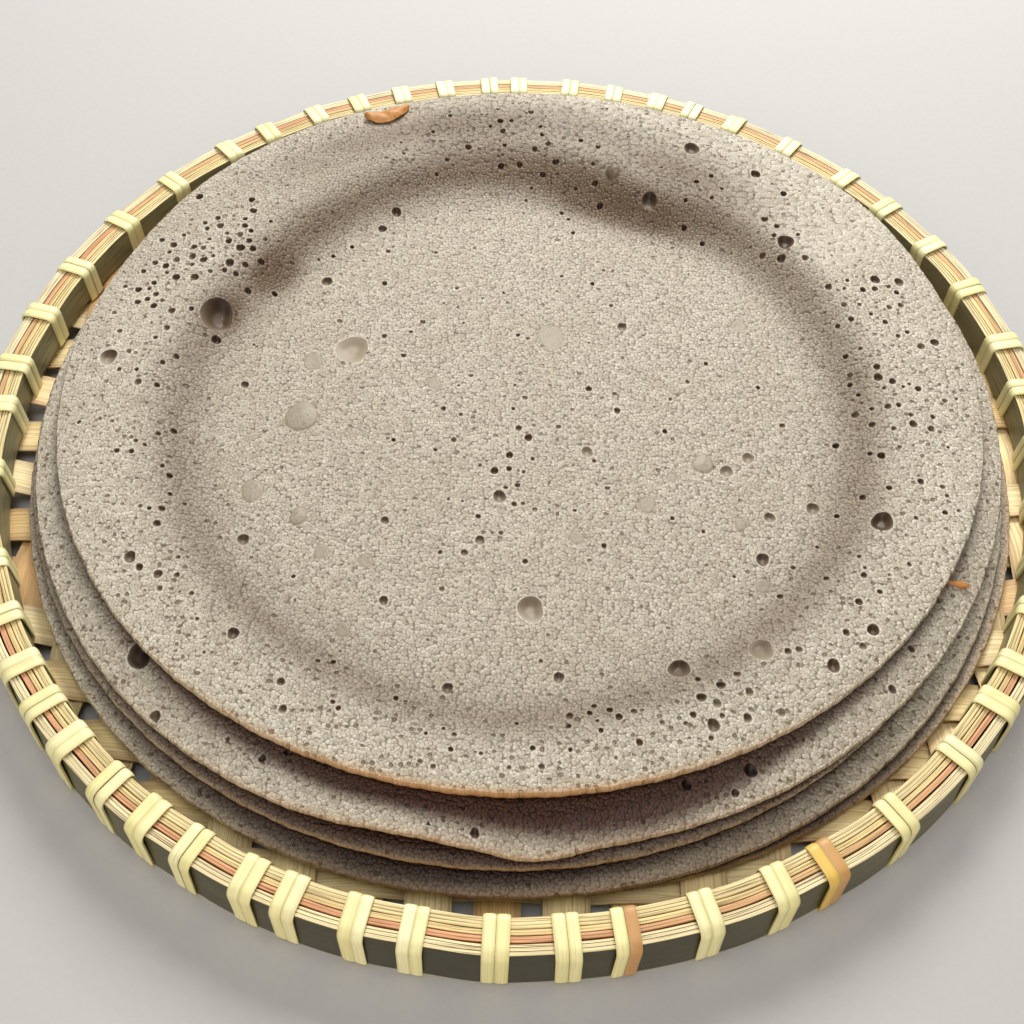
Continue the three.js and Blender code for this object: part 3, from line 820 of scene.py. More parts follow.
def press_pits(x, y, pits):
    """Relief of open pits, their signed distance, and the painted shade of the nearest one."""
    relief, pit, deep = np.zeros_like(x), np.full_like(x, -FAR_OFF), np.zeros_like(x)
    for number, spot in enumerate(pits):
        near = np.nonzero(np.hypot(x - spot[0], y - spot[1]) < spot[2] / 2 + NEARBY)[0]
        inside, way = signed_inside(x[near], y[near], spot, number)
        wall = min(WIDEST_WALL, WALL_SHARE * spot[2])
        sunk = spot[3] * smooth(inside, -0.15, wall) * np.clip(1 + 0.3 * way, 0.6, 1.3)
        lip = LIP_HEIGHT * np.exp(-(((inside + 0.5) / 0.4) ** 2))
        relief[near] += lip - sunk
        # Painted shade: the far side of an eye that is neither shallow nor deep is painted darker.
        shaded = spot[4] + 1.1 * way * min(spot[4], 1 - spot[4])
        nearer = inside > pit[near]
        deep[near[nearer]] = np.clip(shaded[nearer], 0, 1)
        pit[near] = np.maximum(pit[near], inside)
    return relief, pit, deep


def raise_skins(x, y, skins):
    """Relief of closed bubbles, with a thin moat round each, and their signed distance."""
    relief, skin = np.zeros_like(x), np.full_like(x, -FAR_OFF)
    for number, spot in enumerate(skins):
        near = np.nonzero(np.hypot(x - spot[0], y - spot[1]) < spot[2] / 2 + NEARBY)[0]
        inside, _ = signed_inside(x[near], y[near], spot, FIRST_SKIN_SEED + number)
        crown = np.sqrt(np.clip(inside / (spot[2] / 2), 0, 1))
        moat = MOAT_DEPTH * np.exp(-((inside / 0.4) ** 2))
        relief[near] += spot[3] * crown - moat
        skin[near] = np.maximum(skin[near], inside)
    return relief, skin


eye_x, eye_y = np.array([spot[:2] for spot in OPEN_EYES]).T
print(f"the deepest eye sinks {-press_pits(eye_x, eye_y, OPEN_EYES)[0].min():.1f} mm in its middle")

# %% [markdown]
# ## The mesh of a sheet
#
# A sheet starts as a flat grid whose corners are drawn in to a circle. That leaves squares
# of one size all over, without the crowded middle of a mesh made by turning. Where an eye
# will be pressed in, the squares are cut into nine. The open border is then extruded ring
# by ring, round the edge and back underneath, and the last ring is closed with one flat
# face, which the sheet below hides. Until it is placed, a corner's z only counts the ring
# that it belongs to.

# %% Cut the disc and wrap its edge
EDGE_STEPS = 6             # rings round the edge
EDGE_ROUND = 1.4           # mm that the rounded edge takes of the radius
FINE_ROUND = 1.2           # mm round a feature where the squares are fine too
# Where the rings of the underside lie, as shares of the edge's radius.
UNDER_SHARES = [0.985, 0.965, 0.94, 0.90, 0.85, 0.80, 0.74, 0.67, 0.59]


def flat_disc(cells, spots, reach):
    """A disc of radius 1 made of squares, finer where a spot of the sheet lies."""
    bm = bmesh.new()
    bmesh.ops.create_grid(bm, x_segments=cells, y_segments=cells, size=1.0)
    for vert in bm.verts:
        u, v = vert.co.x, vert.co.y
        vert.co.x = u * math.sqrt(1 - v * v / 2)
        vert.co.y = v * math.sqrt(1 - u * u / 2)
    corners = np.array([vert.co for vert in bm.verts])
    theta = np.arctan2(corners[:, 1], corners[:, 0])
    size = reach(theta)
    x, y = corners[:, 0] * size, corners[:, 1] * size
    close = np.zeros(len(x), bool)
    for spot in spots:
        close |= np.hypot(x - spot[0], y - spot[1]) < spot[2] / 2 + FINE_ROUND
    cut = [edge for edge in bm.edges if all(close[vert.index] for vert in edge.verts)]
    bmesh.ops.subdivide_edges(bm, edges=cut, cuts=3, use_grid_fill=True)
    return bm


def wrap_edge(bm):
    """Extrudes the disc's border round the edge and back underneath, and closes it."""
    border = [edge for edge in bm.edges if edge.is_boundary]
    last_share = 1.0
    for ring, share in enumerate([1.0] * EDGE_STEPS + UNDER_SHARES, start=1):
        made = bmesh.ops.extrude_edge_only(bm, edges=border)["geom"]
        corners = {item for item in made if isinstance(item, bmesh.types.BMVert)}
        border = [item for item in made if isinstance(item, bmesh.types.BMEdge)
                  and corners.issuperset(item.verts)]
        for vert in corners:
            vert.co.x *= share / last_share
            vert.co.y *= share / last_share
            vert.co.z = -ring
        last_share = share
    bmesh.ops.contextual_create(bm, geom=border)


print("rings:", EDGE_STEPS, "round an edge and", len(UNDER_SHARES), "underneath")

# %% [markdown]
# ## Painted shade, painted shadow and crust
#
# The slopes and folds of the sheets get painted shade, and where one sheet lies over another,
# a painted shadow shows as a dark brown band along the upper sheet's edge. Each of these is
# worked out from azimuth and radius and painted on the mesh as a number per corner, and so
# is the golden crust of the sides.

# %% Say where the bread gets painted shade, painted shadow and crust
# Painted shade marks of the top sheet, placed and spread as the folds are, with their strength.
SHADE_MARKS = [
    (71, 110, 14, 8, 0.72), (95, 130, 28, 20, 0.46), (102, 152, 34, 13, 0.74),
    (60, 136, 16, 14, 0.74), (146, 113, 5, 7, 0.62), (160.5, 118, 4, 7, 0.55),
    (135, 125, 16, 13, 0.25),
]
SHADE_FLOOR = 0.15          # of the top sheet's flat middle
SHADE_SLOPE = 0.52          # of the slope round it
SLOPE_SPREAD = 11          # mm over which that fades
# Of each lower sheet where it lies open: how much painted shade it gets, and how much more at the
# front.
SHADE_OPEN = 0.04
SHADE_FRONT = [0.6, 0.75, 0.4, 0.16]
SHADOW_BEHIND = 0.5         # of the steam's shade where it isn't at the front
# How golden the side of each sheet is: all round, and how much more at the front.
SIDE_CRUST = [(0.60, 0.3), (0.08, 0.6), (0.05, 0.6), (0.05, 0.5), (0.06, 0.85)]
LOWER_SIDE_SHADE = 0.6     # of the steam's shade on the lower half of a side, at the front


def painted_shade_at(level, theta, radius):
    """Painted shade on the open face: most on the slope and in the folds."""
    if level < TOP_SHEET:
        return SHADE_OPEN + SHADE_FRONT[level] * bump(theta, 274, 40)
    foot, top = slope_at(theta)
    slope = SHADE_SLOPE * np.exp(-(((radius - (foot + top) / 2) / SLOPE_SPREAD) ** 2))
    middle = SHADE_FLOOR * (1 - smooth(radius, 118, 136))
    return slope + middle + add_swells(theta, radius, SHADE_MARKS)


def painted_shadow_at(level, theta, radius):
    """Painted shadow of the sheet above: 1 where it covers this one, fading past its edge, most at
    the front.
    """
    if level == TOP_SHEET:
        return np.zeros_like(theta)
    cover = edge_reach(level + 1, theta)
    left, right = bump(theta, 256, 20), bump(theta, 284, 18)
    starts, ends = left, 6 * left
    if level == SECOND_SHEET:
        starts, ends = 4 * left + 8 * right, 5 * left + 12 * right
    shade = SHADOW_BEHIND + (1 - SHADOW_BEHIND) * bump(theta, 270, 62)
    return shade * (1 - smooth(radius, cover - 0.5 + starts, cover + 3.5 + ends))


print("damp marks on the top sheet:", len(SHADE_MARKS))

# %% [markdown]
# ## Building the sheets
#
# Now the form, the eyes and the shades come together on one mesh. The face is lifted to its
# height and pressed in at its eyes. The edge is rounded, a little crumbly and thicker at the
# front of the top sheet. The underside follows the face at the sheet's thickness, so that
# sheets of one form lie on each other without cutting through.

# %% Build a sheet
FRONT_SWELL = 1.6          # mm that the top sheet's front edge is thicker


def build_sheet(level, cells, pits=(), skins=(), pore_spots=()):
    """One sheet of the stack, from a disc of cells by cells squares."""
    def reach(theta):
        return edge_reach(level, theta) - EDGE_ROUND

    bm = flat_disc(cells, [*pits, *skins], reach)
    wrap_edge(bm)
    code = np.array([vert.co for vert in bm.verts])
    ring = np.rint(-code[:, 2])
    theta = np.arctan2(code[:, 1], code[:, 0])
    radius = np.hypot(code[:, 0], code[:, 1]) * reach(theta)
    x, y = radius * np.cos(theta), radius * np.sin(theta)
    height, fall = face_height(level, x, y)

    on_face = ring == 0
    pressed, pit, deep = press_pits(x, y, pits)
    raised, skin = raise_skins(x, y, skins)
    folds = fold_relief(level, x, y)
    turn = math.pi * np.clip(ring / EDGE_STEPS, 0, 1)
    crumbly = 0.12 * np.sin(61 * theta + level) + 0.10 * np.sin(197 * theta + 2 * level + 1)
    out = (EDGE_ROUND + crumbly) * np.sin(turn) ** 0.6
    swell = FRONT_SWELL * bump(theta, 268, 40) if level == TOP_SHEET else 0
    edge = EDGE_THICKNESS + swell
    under = THICKNESS + fall * (edge - THICKNESS)
    down = np.where(ring > EDGE_STEPS, under, edge / 2 * (1 - np.cos(turn)))
    # The eyes' relief is the face's alone, while the folds bend the whole sheet.
    place_corners(bm, np.column_stack([
        (radius + out) * np.cos(theta), (radius + out) * np.sin(theta),
        height - down + folds + on_face * (pressed + raised),
    ]))

    pores = 0.03 + 0.07 * smooth(radius, 112, 138)
    for middle_x, middle_y, spread, amount in pore_spots:
        away = ((x - middle_x) ** 2 + (y - middle_y) ** 2) / (2 * spread ** 2)
        pores += amount * np.exp(-away)
    paint(bm, "pit", np.where(on_face, pit, -FAR_OFF))
    # How much painted shade each pit gets.
    paint(bm, "deep", deep)
    paint(bm, "skin", np.where(on_face, skin, -FAR_OFF))
    paint(bm, "pores", np.clip(pores, 0, 0.8))
    # Painted shade on the slopes, in the folds and at the front of the lower sheets.
    paint(bm, "painted_shade", np.clip(painted_shade_at(level, theta, radius), 0, 1))
    # The painted shadow fades on the side, and the lower half of a side gets painted shade, most at
    # the front.
    painted_shadow = painted_shadow_at(level, theta, radius) * (1 - 0.8 * smooth(ring, 0, 2))
    lower_side = LOWER_SIDE_SHADE * smooth(ring, 2, 5) * (ring <= EDGE_STEPS)
    paint(bm, "painted_shadow", np.maximum(painted_shadow, lower_side * bump(theta, 266, 36)))
    # The batter rose most on the ring at the back right.
    paint(bm, "puff", smooth(bump(theta, 72, 48) * smooth(radius, 112, 136), 0.35, 0.65))
    # The side is golden at the front, pale elsewhere, and the underside golden all over.
    all_round, more = SIDE_CRUST[level]
    golden = np.where(ring > EDGE_STEPS, 1.0, all_round + more * bump(theta, 266, 32))
    # It starts a little before the face turns down.
    turned = ring + 1.2 * smooth(radius - reach(theta), -2.4, 0)
    paint(bm, "crust", golden * smooth(turned, 0, 3.2))
    bmesh.ops.recalc_face_normals(bm, faces=bm.faces)
    return finish_piece(bm, f"bread_{level + 1}", [BATTER], [SHEETS[level]])


# %% Stack the sheets
TOP_CELLS = 200            # squares across the disc, so each is about 1.6 mm wide
LOWER_CELLS = 130
MORE_PORES = 0.14          # share of pinhole places, added in a cluster's middle
WIDEST_CLUSTER = 60        # mm, over which a cluster is no cluster but a sprinkling
PORE_SPOTS = [(x, y, spread, MORE_PORES) for x, y, spread, *_ in CLUSTERS
              if spread < WIDEST_CLUSTER]

build_sheet(TOP_SHEET, TOP_CELLS, TOP_PITS, SKINS, PORE_SPOTS)
build_sheet(SECOND_SHEET, LOWER_CELLS, SECOND_EYES)
for lower in reversed(range(SECOND_SHEET)):
    build_sheet(lower, LOWER_CELLS)

# %% [markdown]
# ## The rim
#
# The tray's rim is a sandwich: an inner and an outer hoop, each a bamboo slat bent to a
# circle, and two thin splits pressed between them to hide the ends of the mat. Each is a
# profile spun once round the tray. The corners of the profile are rounded, and shallow
# grooves in its top are the layers that bamboo splits into.

# %% Draw a hoop's profile
ARC_STEPS = 3              # points on each rounded corner
GROOVE_DEPTH = 0.16        # mm
GROOVE_WIDTH = 0.24        # mm


def rounded(corners, radius):
    """A closed profile with its corners rounded: radius and height for each point."""
    points = []
    for i, corner in enumerate(corners):
        corner = Vector(corner)
        before = (Vector(corners[i - 1]) - corner).normalized() * radius
        after = (Vector(corners[(i + 1) % len(corners)]) - corner).normalized() * radius
        for step in range(ARC_STEPS + 1):
            t = step / ARC_STEPS
            points.append(corner + before * (1 - t) ** 2 + after * t ** 2)
    return points


def grooved(inner_edge, outer_edge, top, grooves):
    """V-shaped grooves along a hoop's top edge, at shares of the way from outside in."""
    points = []
    for share in grooves:
        at = outer_edge + (inner_edge - outer_edge) * share
        points += [(at + GROOVE_WIDTH / 2, top), (at, top - GROOVE_DEPTH),
                   (at - GROOVE_WIDTH / 2, top)]
    return points


square = rounded([(0, 0), (9, 0), (9, 9), (0, 9)], 1)
print("a square with its corners rounded has", len(square), "points")

# %% Turn a hoop
TURNS = 384                # steps of a full turn
SKIN_FACING = 0.75         # how squarely a face looks out, from which on it shows the skin


def turn_hoop(name, node, foot, top, grooves, finishes, skin_side, tone,
              painted_front_shade=0.0, corner=0.35):
    """Spins a hoop. Its foot and top are each an inner and an outer radius and a height.

    The skin is outside where skin_side is 1 and inside where it is -1. The tone given for the
    front moves the tone along its ramp there, as painted shade on the outer hoop.
    """
    inside_foot, outside_foot, low = foot
    inside_top, outside_top, high = top
    profile = rounded([(inside_foot, low), (outside_foot, low),
                       (outside_top, high), (inside_top, high)], corner)
    # The grooves go in between the two top corners.
    cut = 3 * (ARC_STEPS + 1)
    profile[cut:cut] = [Vector(p) for p in grooved(inside_top, outside_top, high, grooves)]
    bm = bmesh.new()
    verts = [bm.verts.new((r, 0, z)) for r, z in profile]
    edges = [bm.edges.new((verts[i - 1], verts[i])) for i in range(len(verts))]
    bmesh.ops.spin(bm, geom=verts + edges, cent=(0, 0, 0), axis=(0, 0, 1),
                   angle=math.tau, steps=TURNS, use_merge=True)
    bmesh.ops.recalc_face_normals(bm, faces=bm.faces)
    # Bent bamboo is never quite round.
    for vert in bm.verts:
        theta = math.atan2(vert.co.y, vert.co.x)
        sway = 0.2 * math.sin(19 * theta) + 0.14 * math.sin(31 * theta + 1)
        sway += 0.05 * math.sin(43 * theta + outside_top)
        vert.co.x += sway * math.cos(theta)
        vert.co.y += sway * math.sin(theta)
    for face in bm.faces:
        out = face.calc_center_median().xy.normalized().dot(face.normal.xy)
        face.material_index = 1 if out * skin_side > SKIN_FACING else 0
    # A slat's colour drifts along it, as it came from different heights of the culm.
    theta = np.array([math.atan2(vert.co.y, vert.co.x) for vert in bm.verts])
    drift = 0.84 + 0.16 * np.sin(5 * theta + 3 * np.sin(2 * theta + tone))
    # Painted shade: at the front of the outer hoop the tone moves along its ramp to the dark part.
    paint(bm, "tone", tone * drift + painted_front_shade * bump(theta, 268, 48))
    return finish_piece(bm, name, finishes, [node])


# %% Turn the four hoops
HOOP_WALL = 3.1            # mm, as thick as a slat of bamboo
SPLIT_WALL = 1.5
OUTER_FLARE = 2.0          # mm by which the outer hoop is wider at its foot
OUTER_RADIUS = TRAY_RADIUS
OUTER_FOOT = box_mm("outer_hoop")[0].z
INNER_RADIUS = box_mm("inner_hoop")[1].x
INSIDE_RADIUS = INNER_RADIUS - HOOP_WALL
FLARED_RADIUS = OUTER_RADIUS - OUTER_FLARE

turn_hoop("outer_bamboo_hoop", "outer_hoop",
          (OUTER_RADIUS - HOOP_WALL, OUTER_RADIUS, OUTER_FOOT),
          (FLARED_RADIUS - HOOP_WALL, FLARED_RADIUS, RIM_TOP),
          [0.36, 0.72], [CUT_BAMBOO, BAMBOO_SKIN], 1, 0.0, painted_front_shade=0.12)
turn_hoop("inner_bamboo_hoop", "inner_hoop",
          (INSIDE_RADIUS, INNER_RADIUS, INNER_HOOP_FOOT), (INSIDE_RADIUS, INNER_RADIUS, RIM_TOP),
          [0.3, 0.62], [CUT_BAMBOO, BAMBOO_SKIN], -1, 0.35)
# The splits aren't pressed quite tight, so a dark gap stays on each side of them.
for name, slot, node, tone, pressed in [
        ("inner_thin_split", "bamboo", "inner_split", 0.5, 0.0),
        ("outer_thin_split", "salmon_split", "outer_split", 1.0, 0.1)]:
    low, high = box_mm(node)
    wall = (high.x - SPLIT_WALL, high.x + pressed)
    turn_hoop(name, node, (*wall, low.z), (*wall, high.z), [0.45],
              [CUT_BAMBOO, CUT_BAMBOO], 1, tone, corner=0.2)

# %% [markdown]
# ## Strips
#
# The binding and the mat are made of the same thing, a long flat strip. Each starts as a
# grid, so that its UV map can be laid out in millimetres along and across the strip while
# it is still flat. Then a rule carries every corner to its place, and solidify gives the
# strip its thickness.

# %% Lay a strip


def lay_strip(bm, steps, across, length, width, carry, lot, tone):
    """Adds a strip. carry(s, t) gives the place of a corner; s runs 0 to 1, t -1 to 1."""
    uv = bm.loops.layers.uv.get("strip") or bm.loops.layers.uv.new("strip")
    lots = bm.verts.layers.float.get("lot") or bm.verts.layers.float.new("lot")
    tones = bm.verts.layers.float.get("tone") or bm.verts.layers.float.new("tone")
    sides = bm.verts.layers.float.get("side") or bm.verts.layers.float.new("side")
    made = bmesh.ops.create_grid(bm, x_segments=steps, y_segments=across, size=1.0)["verts"]
    for face in {face for vert in made for face in vert.link_faces}:
        for loop in face.loops:
            flat = loop.vert.co
            loop[uv].uv = ((flat.x + 1) / 2 * length, flat.y / 2 * width)
    for vert in made:
        vert[lots] = lot
        vert[tones] = tone
        vert[sides] = abs(vert.co.y) ** 5
        vert.co = carry((vert.co.x + 1) / 2, vert.co.y)


flat = bmesh.new()
lay_strip(flat, 10, 2, 100, 14, lambda s, t: (100 * s, 7 * t, 0), 0, 0)
print("a flat strip, ten steps long and two wide, has", len(flat.faces), "faces")
flat.free()

# %% [markdown]
# ## The binding
#
# The hoops are bound with a flat strip that goes twice round the rim at each place, then
# runs on under the rim to the next. The binder judged the spacing by eye, so the places
# are a list. Two neighbouring turns at the front right are of another culm, one golden and
# one brown, and another brown one is at the front.

# %% Place the binding
BINDING_PLACES = [
    5, 12, 21, 29, 37, 44, 53, 61, 67, 72, 78, 84, 91, 95, 101, 107, 113, 119,
    126, 132, 141, 150, 159, 167, 175, 181, 190, 202, 209, 215, 220, 225, 231,
    236, 241, 247, 251, 257, 262, 269, 275, 280, 287, 294, 299, 307, 316, 323,
    328, 335, 342, 350, 357,
]
ODD_TURNS = {(280, 1): 0.95, (299, 0): 0.62, (299, 1): 0.9}
TURN_WIDTH = 3.7
BINDING_THICKNESS = 0.6
UNDER = 0.62               # height of the strip's upper face under the rim
OVER = RIM_TOP + 1.1       # and over it
INSIDE = INSIDE_RADIUS - 0.7
OUTSIDE = FLARED_RADIUS + 1.3
FOOT_OUTSIDE = OUTSIDE + OUTER_FLARE - 0.7
# Radius and height of each corner of a turn, and how much of the strip its bend takes.
LOOP = [(INSIDE, INNER_HOOP_FOOT - 0.6, 0), (INSIDE, OVER, 2.4), (OUTSIDE, OVER, 3.6),
        (FOOT_OUTSIDE, UNDER, 1.6), (FOOT_OUTSIDE - 4.1, UNDER, 0)]
BEND_STEPS = 7


def soft_path(corners):
    """The corners' line with each bend replaced by a short curve."""
    points = [Vector(corners[0][:2])]
    for before, corner, after in zip(corners, corners[1:], corners[2:]):
        middle, bend = Vector(corner[:2]), corner[2]
        start = middle + (Vector(before[:2]) - middle).normalized() * bend
        end = middle + (Vector(after[:2]) - middle).normalized() * bend
        for step in range(BEND_STEPS + 1):
            t = step / BEND_STEPS
            points.append(start * (1 - t) ** 2 + middle * 2 * t * (1 - t) + end * t ** 2)
    points.append(Vector(corners[-1][:2]))
    return points


def along_path(points, share):
    """Point and outward normal at a share of a path's length, in radius and height."""
    lengths = [(b - a).length for a, b in zip(points, points[1:])]
    left = share * sum(lengths)
    for start, end, length in zip(points, points[1:], lengths):
        if left <= length + 1e-6:
            way = (end - start).normalized()
            return start + way * left, Vector((-way.y, way.x))
        left -= length
    return points[-1], Vector((-way.y, way.x))


TURN_PATH = soft_path(LOOP)
TURN_LENGTH = sum((b - a).length for a, b in zip(TURN_PATH, TURN_PATH[1:]))
print(f"{len(BINDING_PLACES)} places, and {TURN_LENGTH:.0f} mm of strip in each turn")

# %% Bind the rim
TURN_CROWN = 0.26          # mm that the middle of the strip stands over its long sides
RUN_WIDTH = 3.0            # of the strip under the rim


def bind_rim():
    """All turns of the binding and the run of the strip under the rim, as one piece."""
    draw = random.Random(3)
    bm = bmesh.new()
    for place in BINDING_PLACES:
        skew = draw.uniform(-0.9, 0.9)
        for turn in (0, 1):
            width = TURN_WIDTH * draw.uniform(0.92, 1.06)
            offset = (turn - 0.5) * TURN_WIDTH * 0.98 + draw.uniform(-0.15, 0.15)
            lift = draw.uniform(0.0, 0.4)
            theta = math.radians(place)
            tangent = Vector((-math.sin(theta), math.cos(theta), 0))
            outward = Vector((math.cos(theta), math.sin(theta), 0))

            def carry(s, t):
                point, normal = along_path(TURN_PATH, s)
                rise = TURN_CROWN * (1 - t ** 4) + lift * math.exp(-(((s - 0.5) / 0.22) ** 2))
                point = point + normal * rise
                aside = offset + t * width / 2 + skew * (s - 0.45) * 2
                return outward * point.x + tangent * aside + Vector((0, 0, point.y))

            tone = ODD_TURNS.get((place, turn), draw.uniform(0.0, 0.3))
            lay_strip(bm, 48, 6, TURN_LENGTH, width, carry, draw.random(), tone)
    # The run of the strip under the rim, from one place to the next.
    ring = LASHED_RADIUS - 3.1

    def carry_run(s, t):
        theta = math.tau * s
        radius = ring + t * RUN_WIDTH / 2
        return Vector((radius * math.cos(theta), radius * math.sin(theta), UNDER))

    lay_strip(bm, 240, 2, math.tau * ring, RUN_WIDTH, carry_run, 0.5, 0.1)
    bmesh.ops.remove_doubles(bm, verts=bm.verts, dist=0.001)
    bmesh.ops.recalc_face_normals(bm, faces=bm.faces)
    bmesh.ops.solidify(bm, geom=bm.faces[:], thickness=BINDING_THICKNESS)
    bmesh.ops.recalc_face_normals(bm, faces=bm.faces)
    return finish_piece(bm, "rim_binding", [BINDING], ["lashing"])


bind_rim()

# %% [markdown]
# ## The mat
#
# The dish is plain weave: eighteen strips each way, over one and under the next. A strip is
# bent over each one that it crosses in a smooth wave, and towards the rim the whole mat
# turns up a little. The strips were planed by hand, so each has its own tone, a slight
# curl across and ends that follow the rim.

# %% Bend a strip of the mat
STRIP_PITCH = 19.9
STRIP_WIDTH = 13.8
STRIP_THICKNESS = 0.6
STRIPS_EACH_WAY = 18
FIRST_X = -162.35
FIRST_Y = -163.85
WEAVE_HEIGHT = 1.65        # how far a strip rises and falls from the mat's middle
MAT_CLEARANCE = 0.4        # mm between the mat's lowest points and the table
MAT_FLOOR_RADIUS = 135     # radius where the mat starts to turn up
MAT_RISE = 3.6             # mm that it has risen at the inner hoop
MAT_END_RADIUS = 186.0
STEP_LENGTH = 2.6          # mm between the corners along a strip


def mat_rise(radius):
    """How far the mat has turned up at a radius."""
    share = min(max((radius - MAT_FLOOR_RADIUS) / (INSIDE_RADIUS - MAT_FLOOR_RADIUS), 0), 1)
    return MAT_RISE * share * share


def weave_strip(name, offset, first, over_first, lies_along_x, draw):
    """One strip, bent over or under the first strip that it crosses, and so on in turn."""
    middle = MAT_CLEARANCE + WEAVE_HEIGHT + STRIP_THICKNESS / 2
    side = 1 if over_first else -1
    curl = draw.uniform(0.05, 0.3)
    width = STRIP_WIDTH * draw.uniform(0.97, 1.0)

    def carry(s, t):
        across = offset + t * width / 2
        reach = math.sqrt(MAT_END_RADIUS ** 2 - across ** 2)
        along = (2 * s - 1) * reach
        wave = side * math.cos(math.pi * (along - first) / STRIP_PITCH)
        rise = mat_rise(math.hypot(along, across))
        z = middle + rise + WEAVE_HEIGHT * wave + curl * wave * (0.5 - t * t)
        z += STRIP_THICKNESS / 2
        return Vector((along, across, z) if lies_along_x else (across, along, z))

    bm = bmesh.new()
    length = 2 * math.sqrt(MAT_END_RADIUS ** 2 - offset ** 2)
    # Most strips are straw and a few are tan.
    tone = 0.85 * draw.random() ** 1.5
    lay_strip(bm, int(length / STEP_LENGTH), 4, length, width, carry, draw.random(), tone)
    bmesh.ops.recalc_face_normals(bm, faces=bm.faces)
    for face in bm.faces:
        if face.normal.z < 0:
            face.normal_flip()
    bmesh.ops.solidify(bm, geom=bm.faces[:], thickness=STRIP_THICKNESS)
    bmesh.ops.recalc_face_normals(bm, faces=bm.faces)
    return finish_piece(bm, "mat_" + name, [MAT_BAMBOO], [name])


# %% Weave the mat
weaver = random.Random(8)
for number in range(STRIPS_EACH_WAY):
    even = number % 2 == 0
    label = f"{number + 1:02d}"
    weave_strip("weft_" + label, FIRST_Y + number * STRIP_PITCH, FIRST_X, even, True, weaver)
    weave_strip("warp_" + label, FIRST_X + number * STRIP_PITCH, FIRST_Y, not even, False, weaver)

# %% [markdown]
# ## A curl of crust and a crumb
#
# Two small things show that the bread was handled. At the back a sliver of the golden
# underside tore loose and curls over the top sheet's edge, and at the right a brown crumb
# lies on the sheet below. Both are bent or turned from the simplest shape, and wear the
# scorched finish, painted as crust all over.

# %% Bend the curl of crust
CURL = [(-67, 151), (-59, 147), (-50, 158)]    # x and y of its start, its bend and its end
CURL_LENGTH = 20
CURL_WIDTH = 7.5
CURL_THICKNESS = 0.9


def finish_crust(bm, name):
    """Ends a crumb of crust as finish_piece does, with no eyes and crust all over."""
    for attribute, value in (("pit", -FAR_OFF), ("skin", FAR_OFF), ("crust", 0.97)):
        paint(bm, attribute, [value] * len(bm.verts))
    bmesh.ops.recalc_face_normals(bm, faces=bm.faces)
    return finish_piece(bm, name, [SCORCHED])


def curl_place(s, t):
    """Carries a strip along the curl, arched over the top sheet."""
    start, middle, end = (Vector(point) for point in CURL)
    point = start * (1 - s) ** 2 + middle * 2 * s * (1 - s) + end * s ** 2
    way = ((middle - start) * (1 - s) + (end - middle) * s).normalized()
    half = CURL_WIDTH / 2 * math.sin(math.pi * (0.06 + 0.88 * s)) ** 0.6
    point += Vector((-way.y, way.x)) * t * half
    height, _ = face_height(TOP_SHEET, np.array([point.x]), np.array([point.y]))
    arch = 1.6 * (1 - t * t) + 0.25 * math.sin(11 * s) + 0.15 * math.sin(23 * s + 3 * t)
    return Vector((point.x, point.y, height[0] + 1.0 + arch))


bm = bmesh.new()
lay_strip(bm, 30, 8, CURL_LENGTH, CURL_WIDTH, curl_place, 0.5, 0)
bmesh.ops.recalc_face_normals(bm, faces=bm.faces)
bmesh.ops.solidify(bm, geom=bm.faces[:], thickness=CURL_THICKNESS)
finish_crust(bm, "crust_curl")

# %% Drop the crumb
CRUMB_PLACE = Vector((143.5, -70, 0))
CRUMB_RADII = (3.5, 1.3, 0.9)
crumb_height, _ = face_height(SECOND_SHEET, np.array([CRUMB_PLACE.x]), np.array([CRUMB_PLACE.y]))
bm = bmesh.new()
bmesh.ops.create_icosphere(bm, subdivisions=3, radius=1.0)
for vert in bm.verts:
    lump = 1 + 0.15 * math.sin(5 * vert.co.x + 1) + 0.12 * math.sin(7 * vert.co.y)
    long, wide, high = (radius * along for radius, along in zip(CRUMB_RADII, vert.co))
    vert.co = Vector((long * lump, wide * lump, high))
bmesh.ops.rotate(bm, verts=bm.verts, cent=(0, 0, 0),
                 matrix=Euler((0, 0, math.radians(-12))).to_matrix())
bmesh.ops.translate(bm, verts=bm.verts, vec=CRUMB_PLACE + Vector((0, 0, crumb_height[0] + 0.7)))
finish_crust(bm, "fallen_crumb")

# %% [markdown]
# ## Floor, light and camera
#
# The stage is a plain pale floor. One large soft light stands behind and above, as a window
# would, which darkens the slopes that face the camera. A second one, over the tray, fills
# the shadows, and a third, weak and warm, from the front, keeps the side of the rim from
# going black. A grey surround adds the rest. The camera looks down over the tray's front
# edge.

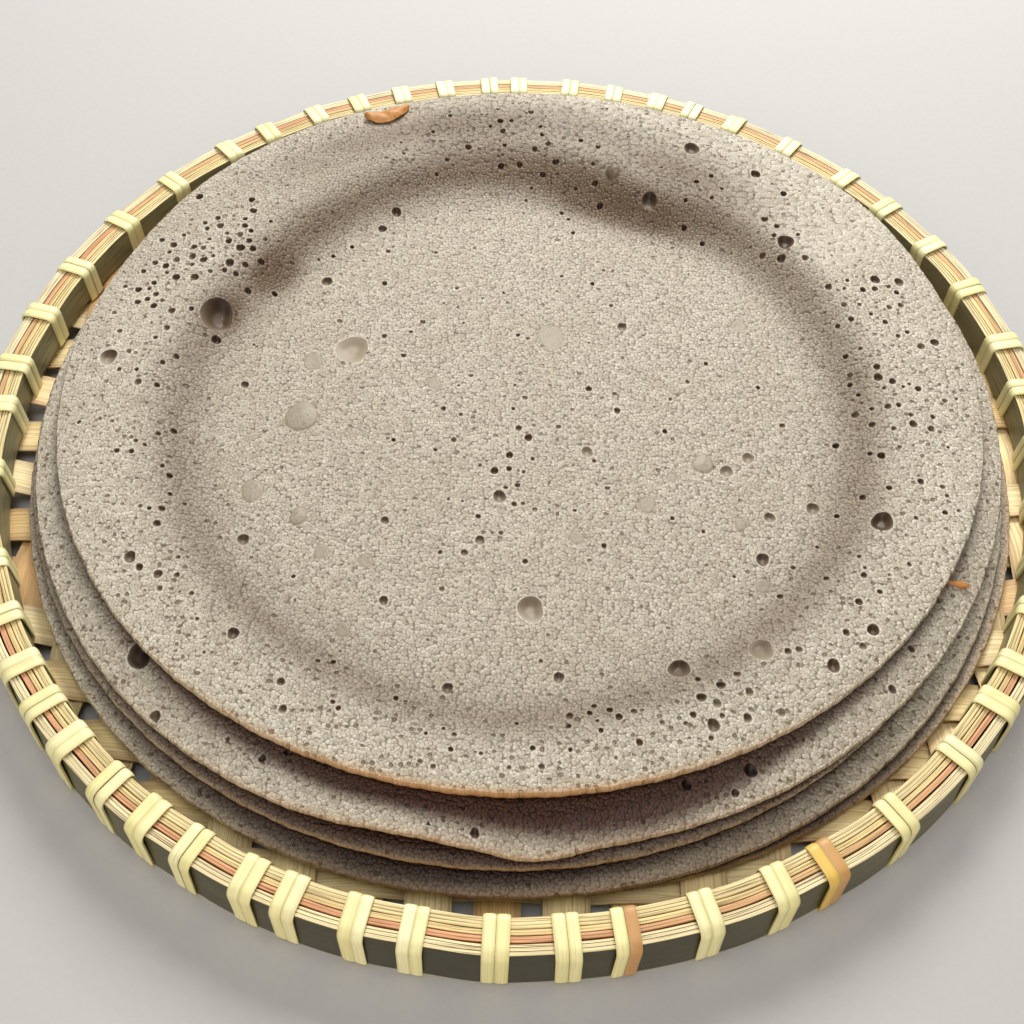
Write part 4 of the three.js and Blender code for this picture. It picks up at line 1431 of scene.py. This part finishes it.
# %% Lay the floor
bm = bmesh.new()
bmesh.ops.create_grid(bm, x_segments=1, y_segments=1, size=2.5)
floor_mesh = bpy.data.meshes.new("studio_floor")
bm.to_mesh(floor_mesh)
bm.free()
floor = bpy.data.objects.new("studio_floor", floor_mesh)
bpy.context.scene.collection.objects.link(floor)
paper, paper_tree, paper_shader = new_material("pale_backdrop_paper")
grain = add_node(paper_tree, "TexNoise", {"Vector": object_mm(paper_tree), "Scale": 0.4})
tint = add_node(paper_tree, "Mix", {0: grain, 6: srgb("#b2b1ae"), 7: srgb("#b7b6b3")}, **COLOUR_MIX)
paper_tree.links.new(tint, paper_shader.inputs["Base Color"])
paper_shader.inputs["Roughness"].default_value = 0.9
floor_mesh.materials.append(paper)
floor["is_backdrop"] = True
print("floor:", paper.name)


# %% Hang the lights
def soft_light(name, place, aim, size, power, colour):
    """A square lamp that looks at aim, with its size in metres and its power in watts."""
    lamp = bpy.data.lights.new(name, "AREA")
    lamp.shape = "SQUARE"
    lamp.size = size
    lamp.energy = power
    lamp.color = srgb(colour)[:3]
    light = bpy.data.objects.new(name, lamp)
    bpy.context.scene.collection.objects.link(light)
    light.location = place
    light.rotation_euler = (Vector(aim) - Vector(place)).to_track_quat("-Z", "Y").to_euler()


soft_light("window_light", (0.12, 0.95, 0.82), (0, 0, 0), 0.6, 21.5, "#fffcf8")
soft_light("ceiling_light", (-0.05, -0.15, 1.5), (0, -0.05, 0), 0.9, 9.0, "#fbfbff")
soft_light("room_light", (-0.15, -1.1, 0.5), (0, -0.1, 0), 0.8, 7.6, "#fff1e0")
world = bpy.data.worlds.new("studio_surround")
world.use_nodes = True
surround = world.node_tree.nodes["Background"]
surround.inputs["Color"].default_value = srgb("#e8ecf2")
surround.inputs["Strength"].default_value = 0.14
bpy.context.scene.world = world
print("lights:", ", ".join(light.name for light in bpy.data.lights))

# %% Set up the camera
lens = bpy.data.cameras.new("camera")
lens.sensor_width = 36
lens.lens = 43.945
camera = bpy.data.objects.new("camera", lens)
bpy.context.scene.collection.objects.link(camera)
camera.location = (-0.001646, -0.285642, 0.364121)
tilt = Euler((math.radians(35.07), 0, 0)).to_matrix()
roll = Euler((0, 0, math.radians(1.394))).to_matrix()
camera.rotation_euler = (tilt @ roll).to_euler()
bpy.context.scene.camera = camera
bpy.context.scene.view_settings.view_transform = "Standard"
print("camera stands", round(camera.location.length, 3), "m from the tray's middle")

# %% Compare the boxes and finish
SHOWN_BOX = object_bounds()
for axis, solid, shown in zip("xyz", SOLID_BOX[1], SHOWN_BOX[1]):
    print(f"{axis}: solids end at {solid / MM:.1f} mm, the model at {shown / MM:.1f} mm")
